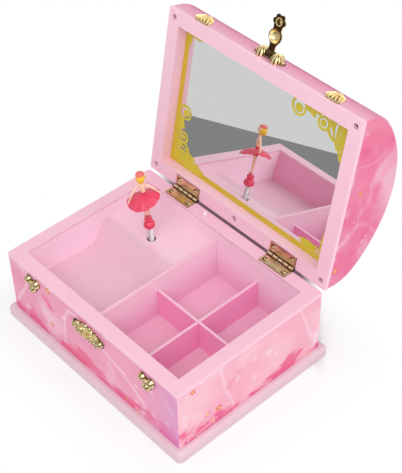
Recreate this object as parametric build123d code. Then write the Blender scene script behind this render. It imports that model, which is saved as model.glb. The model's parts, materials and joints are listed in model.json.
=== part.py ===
from build123d import *
import math
import os

# Wind-up music box with a domed mirror lid, stored with the lid open and the dancer up.
# Millimetres. Origin: centre of the plinth's underside. +Z up, front faces -Y, +X to the right.

# Box
BOX_LENGTH = 170.0          # outer walls, left to right
BOX_DEPTH = 124.4           # outer walls, front to back
WALL_HEIGHT = 50.5          # plinth top to rim top
BOX_CORNER_R = 1.6
SHELL_WALL = 2.4
RIM_WIDTH = 9.8             # outer wall face to the inside of the compartments
FLANGE_T = 2.0              # thickness of the flat rims of box and lid
RIM_EDGE_R = 0.9
TRAY_WALL = 2.0
PLINTH_HEIGHT = 8.5
PLINTH_LIP = 4.4            # how far the plinth stands out of the walls
PLINTH_CORNER_R = 3.6
PLINTH_EDGE_R = 3.4         # upper edge
PLINTH_FOOT_R = 0.8         # lower edge
EDGE_FLAT = 0.2             # least flat left between two roundings
PLINTH_FLOOR = 2.5
PLINTH_SEAT = 8.0           # width of the plinth's band under the walls, from the outer wall face
BOSS_R = 2.6                # corner posts inside the walls
BASE_SCREW_R = 1.25
BASE_SCREW_HEAD_R = 2.4
BASE_SCREW_HEAD_T = 1.5
BASE_SCREW_SINK = 2.0       # counterbore depth under the plinth
BASE_SCREW_GRIP = 12.0      # thread in the corner post
RIM_PIN_R = 0.7
RIM_PIN_LENGTH = 8.0
RIM_PIN_SINK = 0.25         # pin tops under the rim's face

# Compartments, measured down from the rim and in from the back left corner
PLATFORM_DROP = 12.0
FRONT_FLOOR_DROP = 26.0
CELL_FLOOR_DROP = 42.5
PLATFORM_DEPTH = 40.9
SLOPE_RUN = 11.0
LEFT_WIDTH = 68.4
PARTITION_T = 2.4
PARTITION_DROP = 9.4
DIVIDER_T = 2.0
DIVIDER_DROP = 19.5
CELL_LEFT_WIDTH = 38.7
CELL_BACK_DEPTH = 51.9
DIVIDER_CLEAR = 0.1

# Lid, drawn closed and then swung open
LID_OPEN = 101.3            # degrees, the photographed pose and the open stop
LID_GAP = 1.0               # between the two rims when closed
LID_PROUD = 0.8             # the lid stands this far out of the box walls
LID_WALL = 5.5              # upright part of the lid's walls, from its rim
LID_RISE = 43.2             # dome above the upright walls
LID_SIDE_R = 30.0           # radius of the dome's front and back quarters
LID_SHELL_T = 2.2
LID_END_R = 2.5
MIRROR_DEPTH = 8.5          # recess from the lid's rim to the mirror
MIRROR_T = 2.0
MIRROR_LAP = 1.4            # mirror edge that rests on the recess wall
BACKING_T = 1.6
LID_SCREW_INSET = 5.0       # from the side and end wall faces
LID_SCREW_R = 1.1
LID_SCREW_HEAD_R = 1.9
LID_SCREW_HEAD_T = 1.2
LID_SCREW_SINK = 3.0
LID_SCREW_GRIP = 2.0        # frame left under a sunk screw head
LID_SCREW_LENGTH = 11.0
LID_PAD_R = 3.0
LID_POST_R = 2.4

# Hinges
HINGE_FROM_END = 38.5       # middle of a hinge, in from the box's end
HINGE_LENGTH = 24.0
HINGE_BEHIND = 0.8          # axis behind the back wall face
HINGE_KNUCKLES = 5
KNUCKLE_R = 1.4
KNUCKLE_GAP = 0.16
HINGE_PIN_R = 0.6
LEAF_WIDTH = 8.6            # leaf on the rim, from the back wall face
LEAF_T = 0.9
LEAF_SINK = 0.45
LEAF_CORNER_R = 1.8
HINGE_SCREW_X = 8.4         # from the hinge's middle
HINGE_SCREW_R = 0.8
HINGE_SCREW_HEAD_R = 1.7
HINGE_SCREW_HEAD_T = 0.7
HINGE_SCREW_LENGTH = 5.0

# Brass trim
TRIM_T = 1.2
CLIP_FROM_END = 27.5        # middle of a clip, in from the box's end
BOX_CLIP_DROP = 9.5         # middle of the box clips under the rim
BOX_CLIP_LOBE_R = 3.4
BOX_CLIP_SPREAD = 3.9
CATCH_DROP = 12.0
CATCH_LENGTH = 18.0
CATCH_HEIGHT = 10.0
CATCH_END_R = 4.4
CATCH_END_X = 11.0
CATCH_STUD_R = 1.5
CATCH_STUD_T = 2.9
NAIL_R = 0.5
NAIL_HEAD_R = 1.0
NAIL_HEAD_T = 0.5
NAIL_LENGTH = 4.6
NAIL_EDGE = 0.4             # metal between a nail head and what stands beside it
LID_CLIP_RISE = 6.4         # middle of the lid clips over the lid's rim
LID_CLIP_WIDTH = 12.0
LID_CLIP_HEIGHT = 11.6
LID_CLIP_RIB_R = 1.7
LID_CLIP_RIB_STEP = 3.9
LID_CLIP_RIB_LENGTH = 6.6
LID_CLIP_EDGE = 0.4         # plate seen under the ribs
LID_CLIP_NAIL_RISE = 4.3
HASP_RISE = 7.5             # hasp axis over the lid's rim
HASP_OUT = 3.2              # hasp axis out of the lid's front
HASP_PIN_R = 0.8
HASP_KNUCKLE_R = 1.9
HASP_KNUCKLE_LENGTH = 6.0
HASP_LUG_WIDTH = 6.4
HASP_LUG_HEIGHT = 10.4
HASP_LUG_DEPTH = 5.2
HASP_LIFT = 10.0            # degrees past square to the lid's front, the photographed pose
HASP_NECK_WIDTH = 5.4       # between the lugs
HASP_SHOULDER_AT = 6.0      # where the flap widens past the lugs
HASP_BODY_WIDTH = 7.2
HASP_BOSS_AT = 11.0
HASP_BOSS_R = 5.2
HASP_BOSS_RISE = 3.2
HASP_BOSS_WALL = 0.9        # metal between the boss and its bowl
HASP_PETAL_R = 1.95
HASP_PETAL_RING = 3.2
HASP_PETALS = 6
HASP_EYE_CLEAR = 0.3        # flower's eye round the catch's stud
HASP_BOSS_EDGE = 0.3        # flat ring round the boss
HASP_T = 1.4
HASP_BRACKET_HEIGHT = 5.4
HASP_BRACKET_END = 1.0      # bracket past its nail heads

# Dancer and spring, measured from the middle of the platform hole
DANCER_FROM_CELLS = 31.9    # axis of the dancer and the movement, from the cells' wall
DANCER_FROM_BACK = 28.8
DANCER_HOLE_R = 3.2
LEAN = 6.7                  # degrees, the bend of the spring
LEAN_TOWARD = 196.5         # degrees from +X, seen from above
FIGURE_TURN = 47.0          # degrees, where the dancer stopped turning
SPRING_FOOT = 3.0           # spring seat under the platform top
SPRING_TOP = 11.0           # pedestal underside over the platform top
SPRING_R = 1.75             # middle of the wire
SPRING_WIRE = 0.6
SPRING_TURN_RISE = 1.1
PEDESTAL_R = 4.0
PEDESTAL_T = 5.3
PEDESTAL_EDGE_R = 1.6
PEDESTAL_TIER_R = 2.8       # upper tier, under the feet
PEDESTAL_TIER_T = 2.8
PEDESTAL_TIER_EDGE_R = 0.5
LEG_TOP = 33.0
LEG_SPREAD = 1.3
LEG_ANKLE_R = 0.85
LEG_THIGH_R = 1.35
SKIRT_R = 11.2
SKIRT_EDGE = 35.6
SKIRT_WAIST = 40.6
SKIRT_T = 1.0
SKIRT_BULGE = 1.0
SKIRT_TILT = 20.0           # degrees, left edge low
SKIRT_LET_IN = 0.5          # skirt's inner edge drawn into the waist before it is cut to it
WAIST_R = 1.9
SHOULDER_AT = 47.6
SHOULDER_R = 2.9
ARM_R = 0.85
LEFT_HAND_OUT = 9.0
LEFT_HAND_AT = 34.4
RIGHT_HAND_OUT = 11.4
RIGHT_HAND_AT = 41.6
NECK_R = 1.1
HEAD_AT = 54.3
HEAD_R = 3.4
BUN_R = 1.7
BUN_RISE = 1.1              # bun over the middle of the head

# Movement under the platform
BED_LEFT_MARGIN = 1.0       # bedplate past the comb and past the governor's bracket
BED_RIGHT_MARGIN = 5.0
BEDPLATE_FRONT = 13.0       # from the cylinder axis to the bedplate's front edge
BEDPLATE_BACK = 30.0
BEDPLATE_T = 2.5
BARREL_AXLE_RISE = 17.0     # barrel axis over the bedplate
GEAR_MODULE = 1.0
CROWN_TEETH = 22
CYLINDER_TEETH = 17
GOVERNOR_TEETH = 10
TOOTH_ADDENDUM = 0.9
TOOTH_DEDENDUM = 1.15
TOOTH_BACKLASH = 0.45       # tooth thinner than half the pitch
TOOTH_ROOT_SHARE = 1.3      # widths at root and tip against the width at the pitch line
TOOTH_TIP_SHARE = 0.55
CROWN_TOOTH_LENGTH = 2.0
CROWN_TOOTH_SINK = 0.2      # tooth roots let into the disc
CROWN_RIM = 0.4             # disc outside the teeth
GEAR_FACE = 1.6
CROWN_DISC_T = 2.0
BARREL_R = 13.0
BARREL_LENGTH = 12.0
BARREL_WALL = 1.0
ARBOR_R = 2.0
ARBOR_END_R = 1.7
RUN_CLEAR = 0.05            # radial clearance of running fits
SIDE_CLEAR = 0.3            # end play and gaps beside turning pieces
OVER = 1.0                  # how far cuts run past the faces they pass
MAINSPRING_T = 0.35
MAINSPRING_TURNS = 6
MAINSPRING_STEP = 1.15
MAINSPRING_INNER_R = 3.4
RATCHET_R = 6.0
RATCHET_TEETH = 14
RATCHET_T = 1.2
RATCHET_TOOTH_DEPTH = 1.0
RATCHET_TOOTH_RUN = 0.9     # share of a tooth's pitch on its long flank
CLICK_T = 0.5
BRACKET_T = 2.5
BRACKET_WIDTH = 16.0
BRACKET_ABOVE = 7.0
BRACKET_FOOT = 3.2
CYLINDER_R = 6.5
CYLINDER_WALL = 0.8
CYLINDER_LENGTH = 20.0
CYLINDER_CAP = 1.6
TUNE_PIN_R = 0.22
TUNE_PIN_HEIGHT = 0.5
TUNE_PINS_PER_TRACK = 5
TUNE_PIN_TWIST = 67.0       # degrees between one track's pins and the next
SPINDLE_R = 1.5
SPINDLE_PIVOT_R = 1.0
SPINDLE_COLLAR_R = 2.4
SPINDLE_HEAD_R = 2.6
SPINDLE_HEAD_T = 1.5
COMB_TEETH = 18
COMB_TOOTH_WIDTH = 0.8
COMB_SLOT = 0.26
COMB_T = 1.0
COMB_TOOTH_LENGTH = 14.0
COMB_BASE = 7.0
COMB_PIN_CLEAR = 0.1
COMB_BLOCK_T = 5.5
COMB_SCREW_R = 1.0
COMB_SCREW_HEAD_R = 1.7
COMB_SCREW_HEAD_T = 1.0
COMB_SCREW_LENGTH = 4.0
COMB_SCREW_ROOM = 0.5       # hole past the screw's tip
COMB_SCREW_SHARES = (0.2, 0.8)   # screws along the comb's foot
BRIDGE_RISE = 2.0           # bridge underside over the gears
BRIDGE_T = 2.0
BRIDGE_WIDTH = 7.0
PILLAR_R = 1.6
PILLAR_FRONT = 10.6         # pillars in front of the cylinder axis
GOVERNOR_ARBOR_R = 0.9
WORM_WHEEL_TEETH = 18
WORM_MODULE = 0.55
WORM_WHEEL_DROP = 8.0       # worm wheel under the governor pinion
WORM_WHEEL_T = 1.2
WORM_R = 2.2
WORM_TURNS = 4
WORM_ADDENDUM = 0.45
WORM_DEDENDUM = 0.6
WORM_BACKLASH = 0.3
WORM_ROOT_HALF = 0.62       # half the thread's width at its root and at its tip
WORM_TIP_HALF = 0.14
WORM_THREAD_SINK = 0.15     # thread let into the core
WORM_SHOULDER = 0.6         # core past the thread
WORM_SHAFT_R = 0.8
WORM_SHAFT_FRONT = 8.5
FLY_BEHIND = 11.5           # fly's front edge behind the cylinder axis
FLY_LENGTH = 10.0
FLY_WIDTH = 9.0
FLY_T = 0.6
FLY_HUB_R = 1.4
GOVERNOR_BRACKET_T = 1.5
GOVERNOR_BRACKET_WIDTH = 6.0
GOVERNOR_BRACKET_ABOVE = 3.0
BED_SCREW_R = 1.2
BED_SCREW_HEAD_R = 2.2
BED_SCREW_HEAD_T = 1.2
BED_SCREW_INSET = 4.0
KEY_STEM_R = 2.6
KEY_STEM_LENGTH = 9.0
KEY_GAP = 0.6               # key's stem off the back wall
KEY_WALL_HOLE_R = 3.2
KEY_WING_R = 5.4
KEY_WING_HOLE_R = 2.3
KEY_WING_SINK = 1.0         # wings let into the stem's end
KEY_NECK = 4.0              # flat neck between stem and wings
KEY_T = 2.0
STOP_PIN_X = 18.2           # from the dancer's axis
STOP_PIN_R = 1.5
STOP_PIN_UP = 3.0           # above the rim while the lid is open
STOP_PIN_EDGE_R = 0.6
STOP_TRAVEL = 2.4
STOP_ARM_T = 1.6
STOP_ARM_REACH = 15.0
FLY_STOP_CLEAR = 0.5

# Places that follow from the sizes
HALF_L = BOX_LENGTH / 2
HALF_D = BOX_DEPTH / 2
Z_RIM = PLINTH_HEIGHT + WALL_HEIGHT
Z_SHELL_TOP = Z_RIM - FLANGE_T
CAV_X = HALF_L - RIM_WIDTH
CAV_Y = HALF_D - RIM_WIDTH
Z_PLATFORM = Z_RIM - PLATFORM_DROP
Z_FRONT_FLOOR = Z_RIM - FRONT_FLOOR_DROP
Z_CELL_FLOOR = Z_RIM - CELL_FLOOR_DROP
Y_SLOPE_TOP = CAV_Y - PLATFORM_DEPTH
Y_SLOPE_FOOT = Y_SLOPE_TOP - SLOPE_RUN
X_LEFT_END = LEFT_WIDTH - CAV_X
X_CELLS = X_LEFT_END + PARTITION_T
X_DIVIDER = X_CELLS + CELL_LEFT_WIDTH
Y_DIVIDER = CAV_Y - CELL_BACK_DEPTH - DIVIDER_T
Z_DIVIDER_TOP = Z_RIM - DIVIDER_DROP
Z_DIVIDER_HALF = (Z_CELL_FLOOR + Z_DIVIDER_TOP) / 2
BOSS_X = HALF_L - SHELL_WALL - BOSS_R / 2
BOSS_Y = HALF_D - SHELL_WALL - BOSS_R / 2

Z_LID = Z_RIM + LID_GAP
LID_HALF_L = HALF_L + LID_PROUD
LID_HALF_D = HALF_D + LID_PROUD
HINGE_Y = HALF_D + HINGE_BEHIND
HINGE_Z = Z_RIM + LID_GAP / 2
HINGE_AXIS = Axis((0, HINGE_Y, HINGE_Z), (1, 0, 0))
Y_KNUCKLE_ROOM = HINGE_Y - KNUCKLE_R - SIDE_CLEAR
HASP_Y = -LID_HALF_D - HASP_OUT
HASP_Z = Z_LID + HASP_RISE
Z_CATCH = Z_RIM - CATCH_DROP
HASP_END_AT = HASP_Z - Z_CATCH
HASP_EYE_R = CATCH_STUD_R + HASP_EYE_CLEAR
CLIP_X = HALF_L - CLIP_FROM_END
CLIP_XS = (-CLIP_X, CLIP_X)
HINGE_X = HALF_L - HINGE_FROM_END
HINGE_XS = (-HINGE_X, HINGE_X)

DANCER_X = X_LEFT_END - DANCER_FROM_CELLS
DANCER_Y = CAV_Y - DANCER_FROM_BACK
SPRING_HALF = (SPRING_TOP + SPRING_FOOT) / 2
SPRING_BEND_R = SPRING_HALF / math.tan(math.radians(LEAN / 2))

Z_BED = PLINTH_FLOOR + BEDPLATE_T
Z_AXLE = Z_BED + BARREL_AXLE_RISE
CROWN_R = GEAR_MODULE * CROWN_TEETH / 2
CYLINDER_GEAR_R = GEAR_MODULE * CYLINDER_TEETH / 2
GOVERNOR_R = GEAR_MODULE * GOVERNOR_TEETH / 2
TOOTH_T = math.pi * GEAR_MODULE / 2 - TOOTH_BACKLASH
Z_GEAR = Z_AXLE + CROWN_R
Z_GEAR_LOW = Z_GEAR - GEAR_FACE / 2
Z_GEAR_HIGH = Z_GEAR + GEAR_FACE / 2
Y_CROWN = DANCER_Y + CYLINDER_GEAR_R
Y_DISC = Y_CROWN + TOOTH_DEDENDUM
Y_DRUM = Y_DISC + CROWN_DISC_T
Y_DRUM_END = Y_DRUM + BARREL_LENGTH
Y_RATCHET = Y_DRUM_END + SIDE_CLEAR
Y_BRACKET = Y_RATCHET + RATCHET_T + SIDE_CLEAR
Y_BRACKET_END = Y_BRACKET + BRACKET_T
Z_CYLINDER_TOP = Z_GEAR_LOW - SIDE_CLEAR
Z_CYLINDER = Z_CYLINDER_TOP - CYLINDER_LENGTH
Z_BRIDGE = Z_GEAR_HIGH + BRIDGE_RISE
GOVERNOR_X = DANCER_X + CYLINDER_GEAR_R + GOVERNOR_R
WORM_WHEEL_R = WORM_MODULE * WORM_WHEEL_TEETH / 2
WORM_PITCH = math.pi * WORM_MODULE
WORM_X = GOVERNOR_X + WORM_WHEEL_R + WORM_R
Z_WORM = Z_GEAR - WORM_WHEEL_DROP
FLY_Y = DANCER_Y + FLY_BEHIND
Y_GOVERNOR_FRONT = DANCER_Y - WORM_SHAFT_FRONT
Y_GOVERNOR_BACK = FLY_Y + FLY_LENGTH + SIDE_CLEAR
COMB_TIP_X = DANCER_X - CYLINDER_R - TUNE_PIN_HEIGHT - COMB_PIN_CLEAR
COMB_ROOT_X = COMB_TIP_X - COMB_TOOTH_LENGTH
COMB_STEP = COMB_TOOTH_WIDTH + COMB_SLOT
COMB_SPAN = COMB_TEETH * COMB_STEP
Z_COMB = Z_CYLINDER + (CYLINDER_LENGTH - COMB_SPAN) / 2
COMB_END_X = COMB_ROOT_X - COMB_BASE
BED_LEFT = COMB_END_X - BED_LEFT_MARGIN
BED_RIGHT = WORM_X + GOVERNOR_BRACKET_WIDTH / 2 + BED_RIGHT_MARGIN
STOP_X = DANCER_X + STOP_PIN_X
STOP_Y = (CAV_Y + TRAY_WALL + HALF_D - SHELL_WALL) / 2
Z_STOP_ARM = Z_WORM + FLY_WIDTH / 2 + FLY_STOP_CLEAR + STOP_TRAVEL

LOW = (Align.CENTER, Align.CENTER, Align.MIN)
parts = {}


def block(x0, x1, y0, y1, z0, z1):
    """Box between two corners."""
    return Pos((x0 + x1) / 2, (y0 + y1) / 2, (z0 + z1) / 2) * Box(x1 - x0, y1 - y0, z1 - z0)


def rod_z(x, y, z0, z1, r):
    return Pos(x, y, z0) * Cylinder(r, z1 - z0, align=LOW)


def rod_y(x, z, y0, y1, r):
    return Pos(x, y0, z) * Rot(X=-90) * Cylinder(r, y1 - y0, align=LOW)


def rod_x(y, z, x0, x1, r):
    return Pos(x0, y, z) * Rot(Y=90) * Cylinder(r, x1 - x0, align=LOW)


def rounded_block(x0, x1, y0, y1, z0, z1, r):
    """Box with rounded upright edges."""
    solid = block(x0, x1, y0, y1, z0, z1)
    return fillet(solid.edges().filter_by(Axis.Z), r)


def group(solids):
    """Several like pieces that share one node."""
    return Compound([piece.solid() for piece in solids])


def opened(shape):
    """Swings a piece that is drawn on the closed lid to the open lid."""
    return shape.rotate(HINGE_AXIS, -LID_OPEN)


def spur_outline(teeth, module, addendum, dedendum, tooth, phase):
    """Gear outline with slightly tapered teeth; phase is the angle of one tooth's middle."""
    radius = teeth * module / 2
    levels = [(radius - dedendum, TOOTH_ROOT_SHARE), (radius, 1), (radius + addendum, TOOTH_TIP_SHARE)]
    points = []
    for i in range(teeth):
        middle = math.radians(phase + 360 * i / teeth)
        flank = [(r, share * tooth / 2 / r) for r, share in levels]
        for r, half in flank:
            points.append((r * math.cos(middle - half), r * math.sin(middle - half)))
        for r, half in reversed(flank):
            points.append((r * math.cos(middle + half), r * math.sin(middle + half)))
    return Polygon(*points, align=None)


def biarc(p0, t0, p1, t1):
    """Two tangent arcs from p0 along t0 to p1 along t1."""
    span = p1 - p0
    both = t0 + t1
    slack = 2 * (1 - t0.dot(t1))
    reach = span.dot(both)
    d = (math.sqrt(reach * reach + slack * span.dot(span)) - reach) / slack
    q0 = p0 + t0 * d
    q1 = p1 - t1 * d
    middle = (q0 + q1) * 0.5
    return [TangentArc(p0, middle, tangent=t0), TangentArc(middle, p1, tangent=q1 - q0)]


# Case


def corner_post_spots():
    return [(sx * BOSS_X, sy * BOSS_Y) for sx in (-1, 1) for sy in (-1, 1)]


def bed_screw_spots():
    left = BED_LEFT + BED_SCREW_INSET
    right = BED_RIGHT - BED_SCREW_INSET
    front = DANCER_Y - BEDPLATE_FRONT + BED_SCREW_INSET
    back = DANCER_Y + BEDPLATE_BACK - BED_SCREW_INSET
    return [(left, front), (right, front), (left, back), (right, back)]


def make_plinth():
    x1 = HALF_L + PLINTH_LIP
    y1 = HALF_D + PLINTH_LIP
    plinth = rounded_block(-x1, x1, -y1, y1, 0, PLINTH_HEIGHT, PLINTH_CORNER_R)
    rims = plinth.faces().sort_by(Axis.Z)
    edge = min(PLINTH_EDGE_R, PLINTH_LIP - EDGE_FLAT, PLINTH_CORNER_R - EDGE_FLAT)
    plinth = fillet(rims[-1].edges(), edge)
    plinth = fillet(plinth.faces().sort_by(Axis.Z)[0].edges(), PLINTH_FOOT_R)
    px = HALF_L - PLINTH_SEAT
    py = HALF_D - PLINTH_SEAT
    plinth -= block(-px, px, -py, py, PLINTH_FLOOR, PLINTH_HEIGHT + OVER)
    for x, y in corner_post_spots():
        plinth -= rod_z(x, y, -OVER, PLINTH_HEIGHT + OVER, BASE_SCREW_R + RUN_CLEAR)
        plinth -= rod_z(x, y, -OVER, BASE_SCREW_SINK, BASE_SCREW_HEAD_R + RUN_CLEAR)
    for x, y in bed_screw_spots():
        plinth -= rod_z(x, y, -OVER, PLINTH_FLOOR + OVER, BED_SCREW_R + RUN_CLEAR)
        plinth -= rod_z(x, y, -OVER, BED_SCREW_HEAD_T, BED_SCREW_HEAD_R + RUN_CLEAR)
    parts["base_plinth"] = plinth
    screws = []
    for x, y in corner_post_spots():
        top = PLINTH_HEIGHT + BASE_SCREW_GRIP
        head = rod_z(x, y, BASE_SCREW_SINK - BASE_SCREW_HEAD_T, BASE_SCREW_SINK, BASE_SCREW_HEAD_R)
        screws.append(head + rod_z(x, y, BASE_SCREW_SINK, top, BASE_SCREW_R))
    parts["base_screws"] = group(screws)


def make_shell():
    shell = rounded_block(-HALF_L, HALF_L, -HALF_D, HALF_D, PLINTH_HEIGHT, Z_SHELL_TOP, BOX_CORNER_R)
    ix = HALF_L - SHELL_WALL
    iy = HALF_D - SHELL_WALL
    shell -= block(-ix, ix, -iy, iy, PLINTH_HEIGHT - OVER, Z_SHELL_TOP + OVER)
    for x, y in corner_post_spots():
        z_screw = PLINTH_HEIGHT + BASE_SCREW_GRIP + OVER
        shell += rod_z(x, y, PLINTH_HEIGHT, Z_SHELL_TOP, BOSS_R)
        shell -= rod_z(x, y, PLINTH_HEIGHT - OVER, z_screw, BASE_SCREW_R + RUN_CLEAR)
        shell -= rod_z(x, y, Z_RIM - RIM_PIN_LENGTH - RIM_PIN_SINK, Z_RIM, RIM_PIN_R + RUN_CLEAR)
    shell -= rod_y(DANCER_X, Z_AXLE, iy - OVER, HALF_D + OVER, KEY_WALL_HOLE_R)
    for x, z in box_nail_spots():
        shell -= rod_y(x, z, -HALF_D - OVER, -iy + OVER, NAIL_R + RUN_CLEAR)
    parts["body_shell"] = shell


def make_tray():
    ox = CAV_X + TRAY_WALL
    oy = CAV_Y + TRAY_WALL
    flange = rounded_block(-HALF_L, HALF_L, -HALF_D, HALF_D, Z_SHELL_TOP, Z_RIM, BOX_CORNER_R)
    flange = fillet(flange.faces().sort_by(Axis.Z)[-1].edges(), RIM_EDGE_R)
    slope = math.atan2(Z_PLATFORM - Z_FRONT_FLOOR, SLOPE_RUN)
    shift = TRAY_WALL * math.tan(slope / 2)
    low = [
        (-oy, Z_FRONT_FLOOR - TRAY_WALL),
        (Y_SLOPE_FOOT + shift, Z_FRONT_FLOOR - TRAY_WALL),
        (Y_SLOPE_TOP + shift, Z_PLATFORM - TRAY_WALL),
        (oy, Z_PLATFORM - TRAY_WALL),
    ]
    top = [
        (-CAV_Y, Z_FRONT_FLOOR),
        (Y_SLOPE_FOOT, Z_FRONT_FLOOR),
        (Y_SLOPE_TOP, Z_PLATFORM),
        (CAV_Y, Z_PLATFORM),
    ]
    over = Z_RIM + OVER
    left_skin = Polygon(*low, (oy, Z_RIM), (-oy, Z_RIM), align=None)
    left_air = Polygon(*top, (CAV_Y, over), (-CAV_Y, over), align=None)
    tray = extrude(Plane.YZ.offset(-ox) * left_skin, X_LEFT_END + ox)
    tray += block(X_LEFT_END - TRAY_WALL, ox, -oy, oy, Z_CELL_FLOOR - TRAY_WALL, Z_RIM)
    tray += flange
    tray -= extrude(Plane.YZ.offset(-CAV_X) * left_air, X_LEFT_END + CAV_X)
    tray -= block(X_LEFT_END, CAV_X, -CAV_Y, CAV_Y, Z_CELL_FLOOR, over)
    tray -= rod_z(DANCER_X, DANCER_Y, Z_PLATFORM - TRAY_WALL - OVER, Z_PLATFORM + OVER, DANCER_HOLE_R)
    tray -= rod_z(STOP_X, STOP_Y, Z_SHELL_TOP - OVER, over, STOP_PIN_R + RUN_CLEAR)
    for x in HINGE_XS:
        half = HINGE_LENGTH / 2 + RUN_CLEAR
        front = HALF_D - LEAF_WIDTH - RUN_CLEAR
        tray -= block(x - half, x + half, front, HALF_D + OVER, Z_RIM - LEAF_SINK, over)
        tray -= block(x - half - SIDE_CLEAR, x + half + SIDE_CLEAR, Y_KNUCKLE_ROOM, HALF_D + OVER,
                      HINGE_Z - KNUCKLE_R - SIDE_CLEAR, over)
    for x, y in hinge_screw_spots():
        tray -= rod_z(x, y, Z_SHELL_TOP - OVER, over, HINGE_SCREW_R + RUN_CLEAR)
    for x, y in corner_post_spots():
        tray -= rod_z(x, y, Z_SHELL_TOP - OVER, over, RIM_PIN_R + RUN_CLEAR)
    parts["inner_tray"] = tray
    z_pin = Z_RIM - RIM_PIN_SINK
    pins = [rod_z(x, y, z_pin - RIM_PIN_LENGTH, z_pin, RIM_PIN_R) for x, y in corner_post_spots()]
    parts["rim_pins"] = group(pins)


def make_dividers():
    y1 = CAV_Y - DIVIDER_CLEAR
    partition = block(X_LEFT_END, X_CELLS, -y1, y1, Z_CELL_FLOOR, Z_RIM - PARTITION_DROP)
    parts["partition"] = partition
    slot = DIVIDER_T / 2 + DIVIDER_CLEAR
    long_x = X_DIVIDER + DIVIDER_T / 2
    short_y = Y_DIVIDER + DIVIDER_T / 2
    long_plate = block(X_DIVIDER, X_DIVIDER + DIVIDER_T, -y1, y1, Z_CELL_FLOOR, Z_DIVIDER_TOP)
    long_plate -= block(X_DIVIDER - OVER, X_DIVIDER + DIVIDER_T + OVER, short_y - slot, short_y + slot,
                        Z_DIVIDER_HALF, Z_DIVIDER_TOP + OVER)
    short_plate = block(X_CELLS + DIVIDER_CLEAR, CAV_X - DIVIDER_CLEAR, Y_DIVIDER, Y_DIVIDER + DIVIDER_T,
                        Z_CELL_FLOOR, Z_DIVIDER_TOP)
    short_plate -= block(long_x - slot, long_x + slot, Y_DIVIDER - OVER, Y_DIVIDER + DIVIDER_T + OVER,
                         Z_CELL_FLOOR - OVER, Z_DIVIDER_HALF)
    parts["divider_long"] = long_plate
    parts["divider_short"] = short_plate


# Hinges


def hinge_screw_spots():
    y = HALF_D - LEAF_WIDTH / 2
    return [(x + side * HINGE_SCREW_X, y) for x in HINGE_XS for side in (-1, 1)]


def flat_screw(x, y, z_top):
    """Flat-head screw pointing down, its head's top at z_top."""
    head = Pos(x, y, z_top - HINGE_SCREW_HEAD_T) * Cone(
        HINGE_SCREW_R, HINGE_SCREW_HEAD_R, HINGE_SCREW_HEAD_T, align=LOW)
    return head + rod_z(x, y, z_top - HINGE_SCREW_LENGTH, z_top - HINGE_SCREW_HEAD_T, HINGE_SCREW_R)


def hinge_leaf(x, own_knuckles):
    """Leaf that lies in the box rim; own_knuckles are the barrel pieces that it carries."""
    x0 = x - HINGE_LENGTH / 2
    piece = HINGE_LENGTH / HINGE_KNUCKLES
    z0 = Z_RIM - LEAF_SINK
    z1 = z0 + LEAF_T
    y_stop = HINGE_Y - KNUCKLE_R - KNUCKLE_GAP
    leaf = block(x0, x0 + HINGE_LENGTH, HALF_D - LEAF_WIDTH, y_stop, z0, z1)
    front = leaf.edges().filter_by(Axis.Z).sort_by(Axis.Y)[:2]
    leaf = fillet(front, LEAF_CORNER_R)
    for i in own_knuckles:
        a = x0 + i * piece + KNUCKLE_GAP / 2
        b = a + piece - KNUCKLE_GAP
        leaf += block(a, b, y_stop - KNUCKLE_R / 2, HINGE_Y, z0, z1)
        leaf += rod_x(HINGE_Y, HINGE_Z, a, b, KNUCKLE_R)
    leaf -= rod_x(HINGE_Y, HINGE_Z, x0 - OVER, x0 + HINGE_LENGTH + OVER, HINGE_PIN_R + RUN_CLEAR)
    y = HALF_D - LEAF_WIDTH / 2
    for side in (-1, 1):
        sx = x + side * HINGE_SCREW_X
        sink = HINGE_SCREW_HEAD_T + RUN_CLEAR
        leaf -= Pos(sx, y, z1 - sink) * Cone(
            HINGE_SCREW_R + RUN_CLEAR, HINGE_SCREW_HEAD_R + 2 * RUN_CLEAR, sink, align=LOW)
        leaf -= rod_z(sx, y, z0 - OVER, z1, HINGE_SCREW_R + RUN_CLEAR)
    return leaf


def to_lid_side(shape):
    """Mirrors a piece in the box rim to the closed lid's rim."""
    return shape.mirror(Plane.XY.offset(HINGE_Z))


def make_hinges():
    knuckles = range(HINGE_KNUCKLES)
    for x, side in zip(HINGE_XS, ("left", "right")):
        parts[f"hinge_box_leaf_{side}"] = hinge_leaf(x, knuckles[::2])
        parts[f"hinge_lid_leaf_{side}"] = opened(to_lid_side(hinge_leaf(x, knuckles[1::2])))
        half = HINGE_LENGTH / 2
        parts[f"hinge_pin_{side}"] = rod_x(HINGE_Y, HINGE_Z, x - half, x + half, HINGE_PIN_R)
    z_top = Z_RIM - LEAF_SINK + LEAF_T - RUN_CLEAR
    screws = [flat_screw(x, y, z_top) for x, y in hinge_screw_spots()]
    parts["hinge_box_screws"] = group(screws)
    parts["hinge_lid_screws"] = group([opened(to_lid_side(screw)) for screw in screws])


# Lid


def lid_outline(inset, z_low):
    """Cross-section of the lid: upright walls, two quarter bends and a flat arch, in from the outside."""
    a = LID_HALF_D - inset
    b = LID_RISE - inset
    r = LID_SIDE_R - inset
    z_wall = Z_LID + LID_WALL
    cy = a - r
    k = (cy * cy - (b - r) ** 2) / (2 * (b - r))
    arch = k + b
    turn = math.atan2(k, cy)
    joint = (arch * math.cos(turn), z_wall + arch * math.sin(turn) - k)
    bend = (cy + r * math.cos(turn / 2), z_wall + r * math.sin(turn / 2))
    crown = (0, z_wall + b)
    edges = [
        Line((-a, z_low), (a, z_low)),
        Line((a, z_low), (a, z_wall)),
        ThreePointArc((a, z_wall), bend, joint),
        ThreePointArc(joint, crown, (-joint[0], joint[1])),
        ThreePointArc((-joint[0], joint[1]), (-bend[0], bend[1]), (-a, z_wall)),
        Line((-a, z_wall), (-a, z_low)),
    ]
    return Plane.YZ * make_face(edges)


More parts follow.
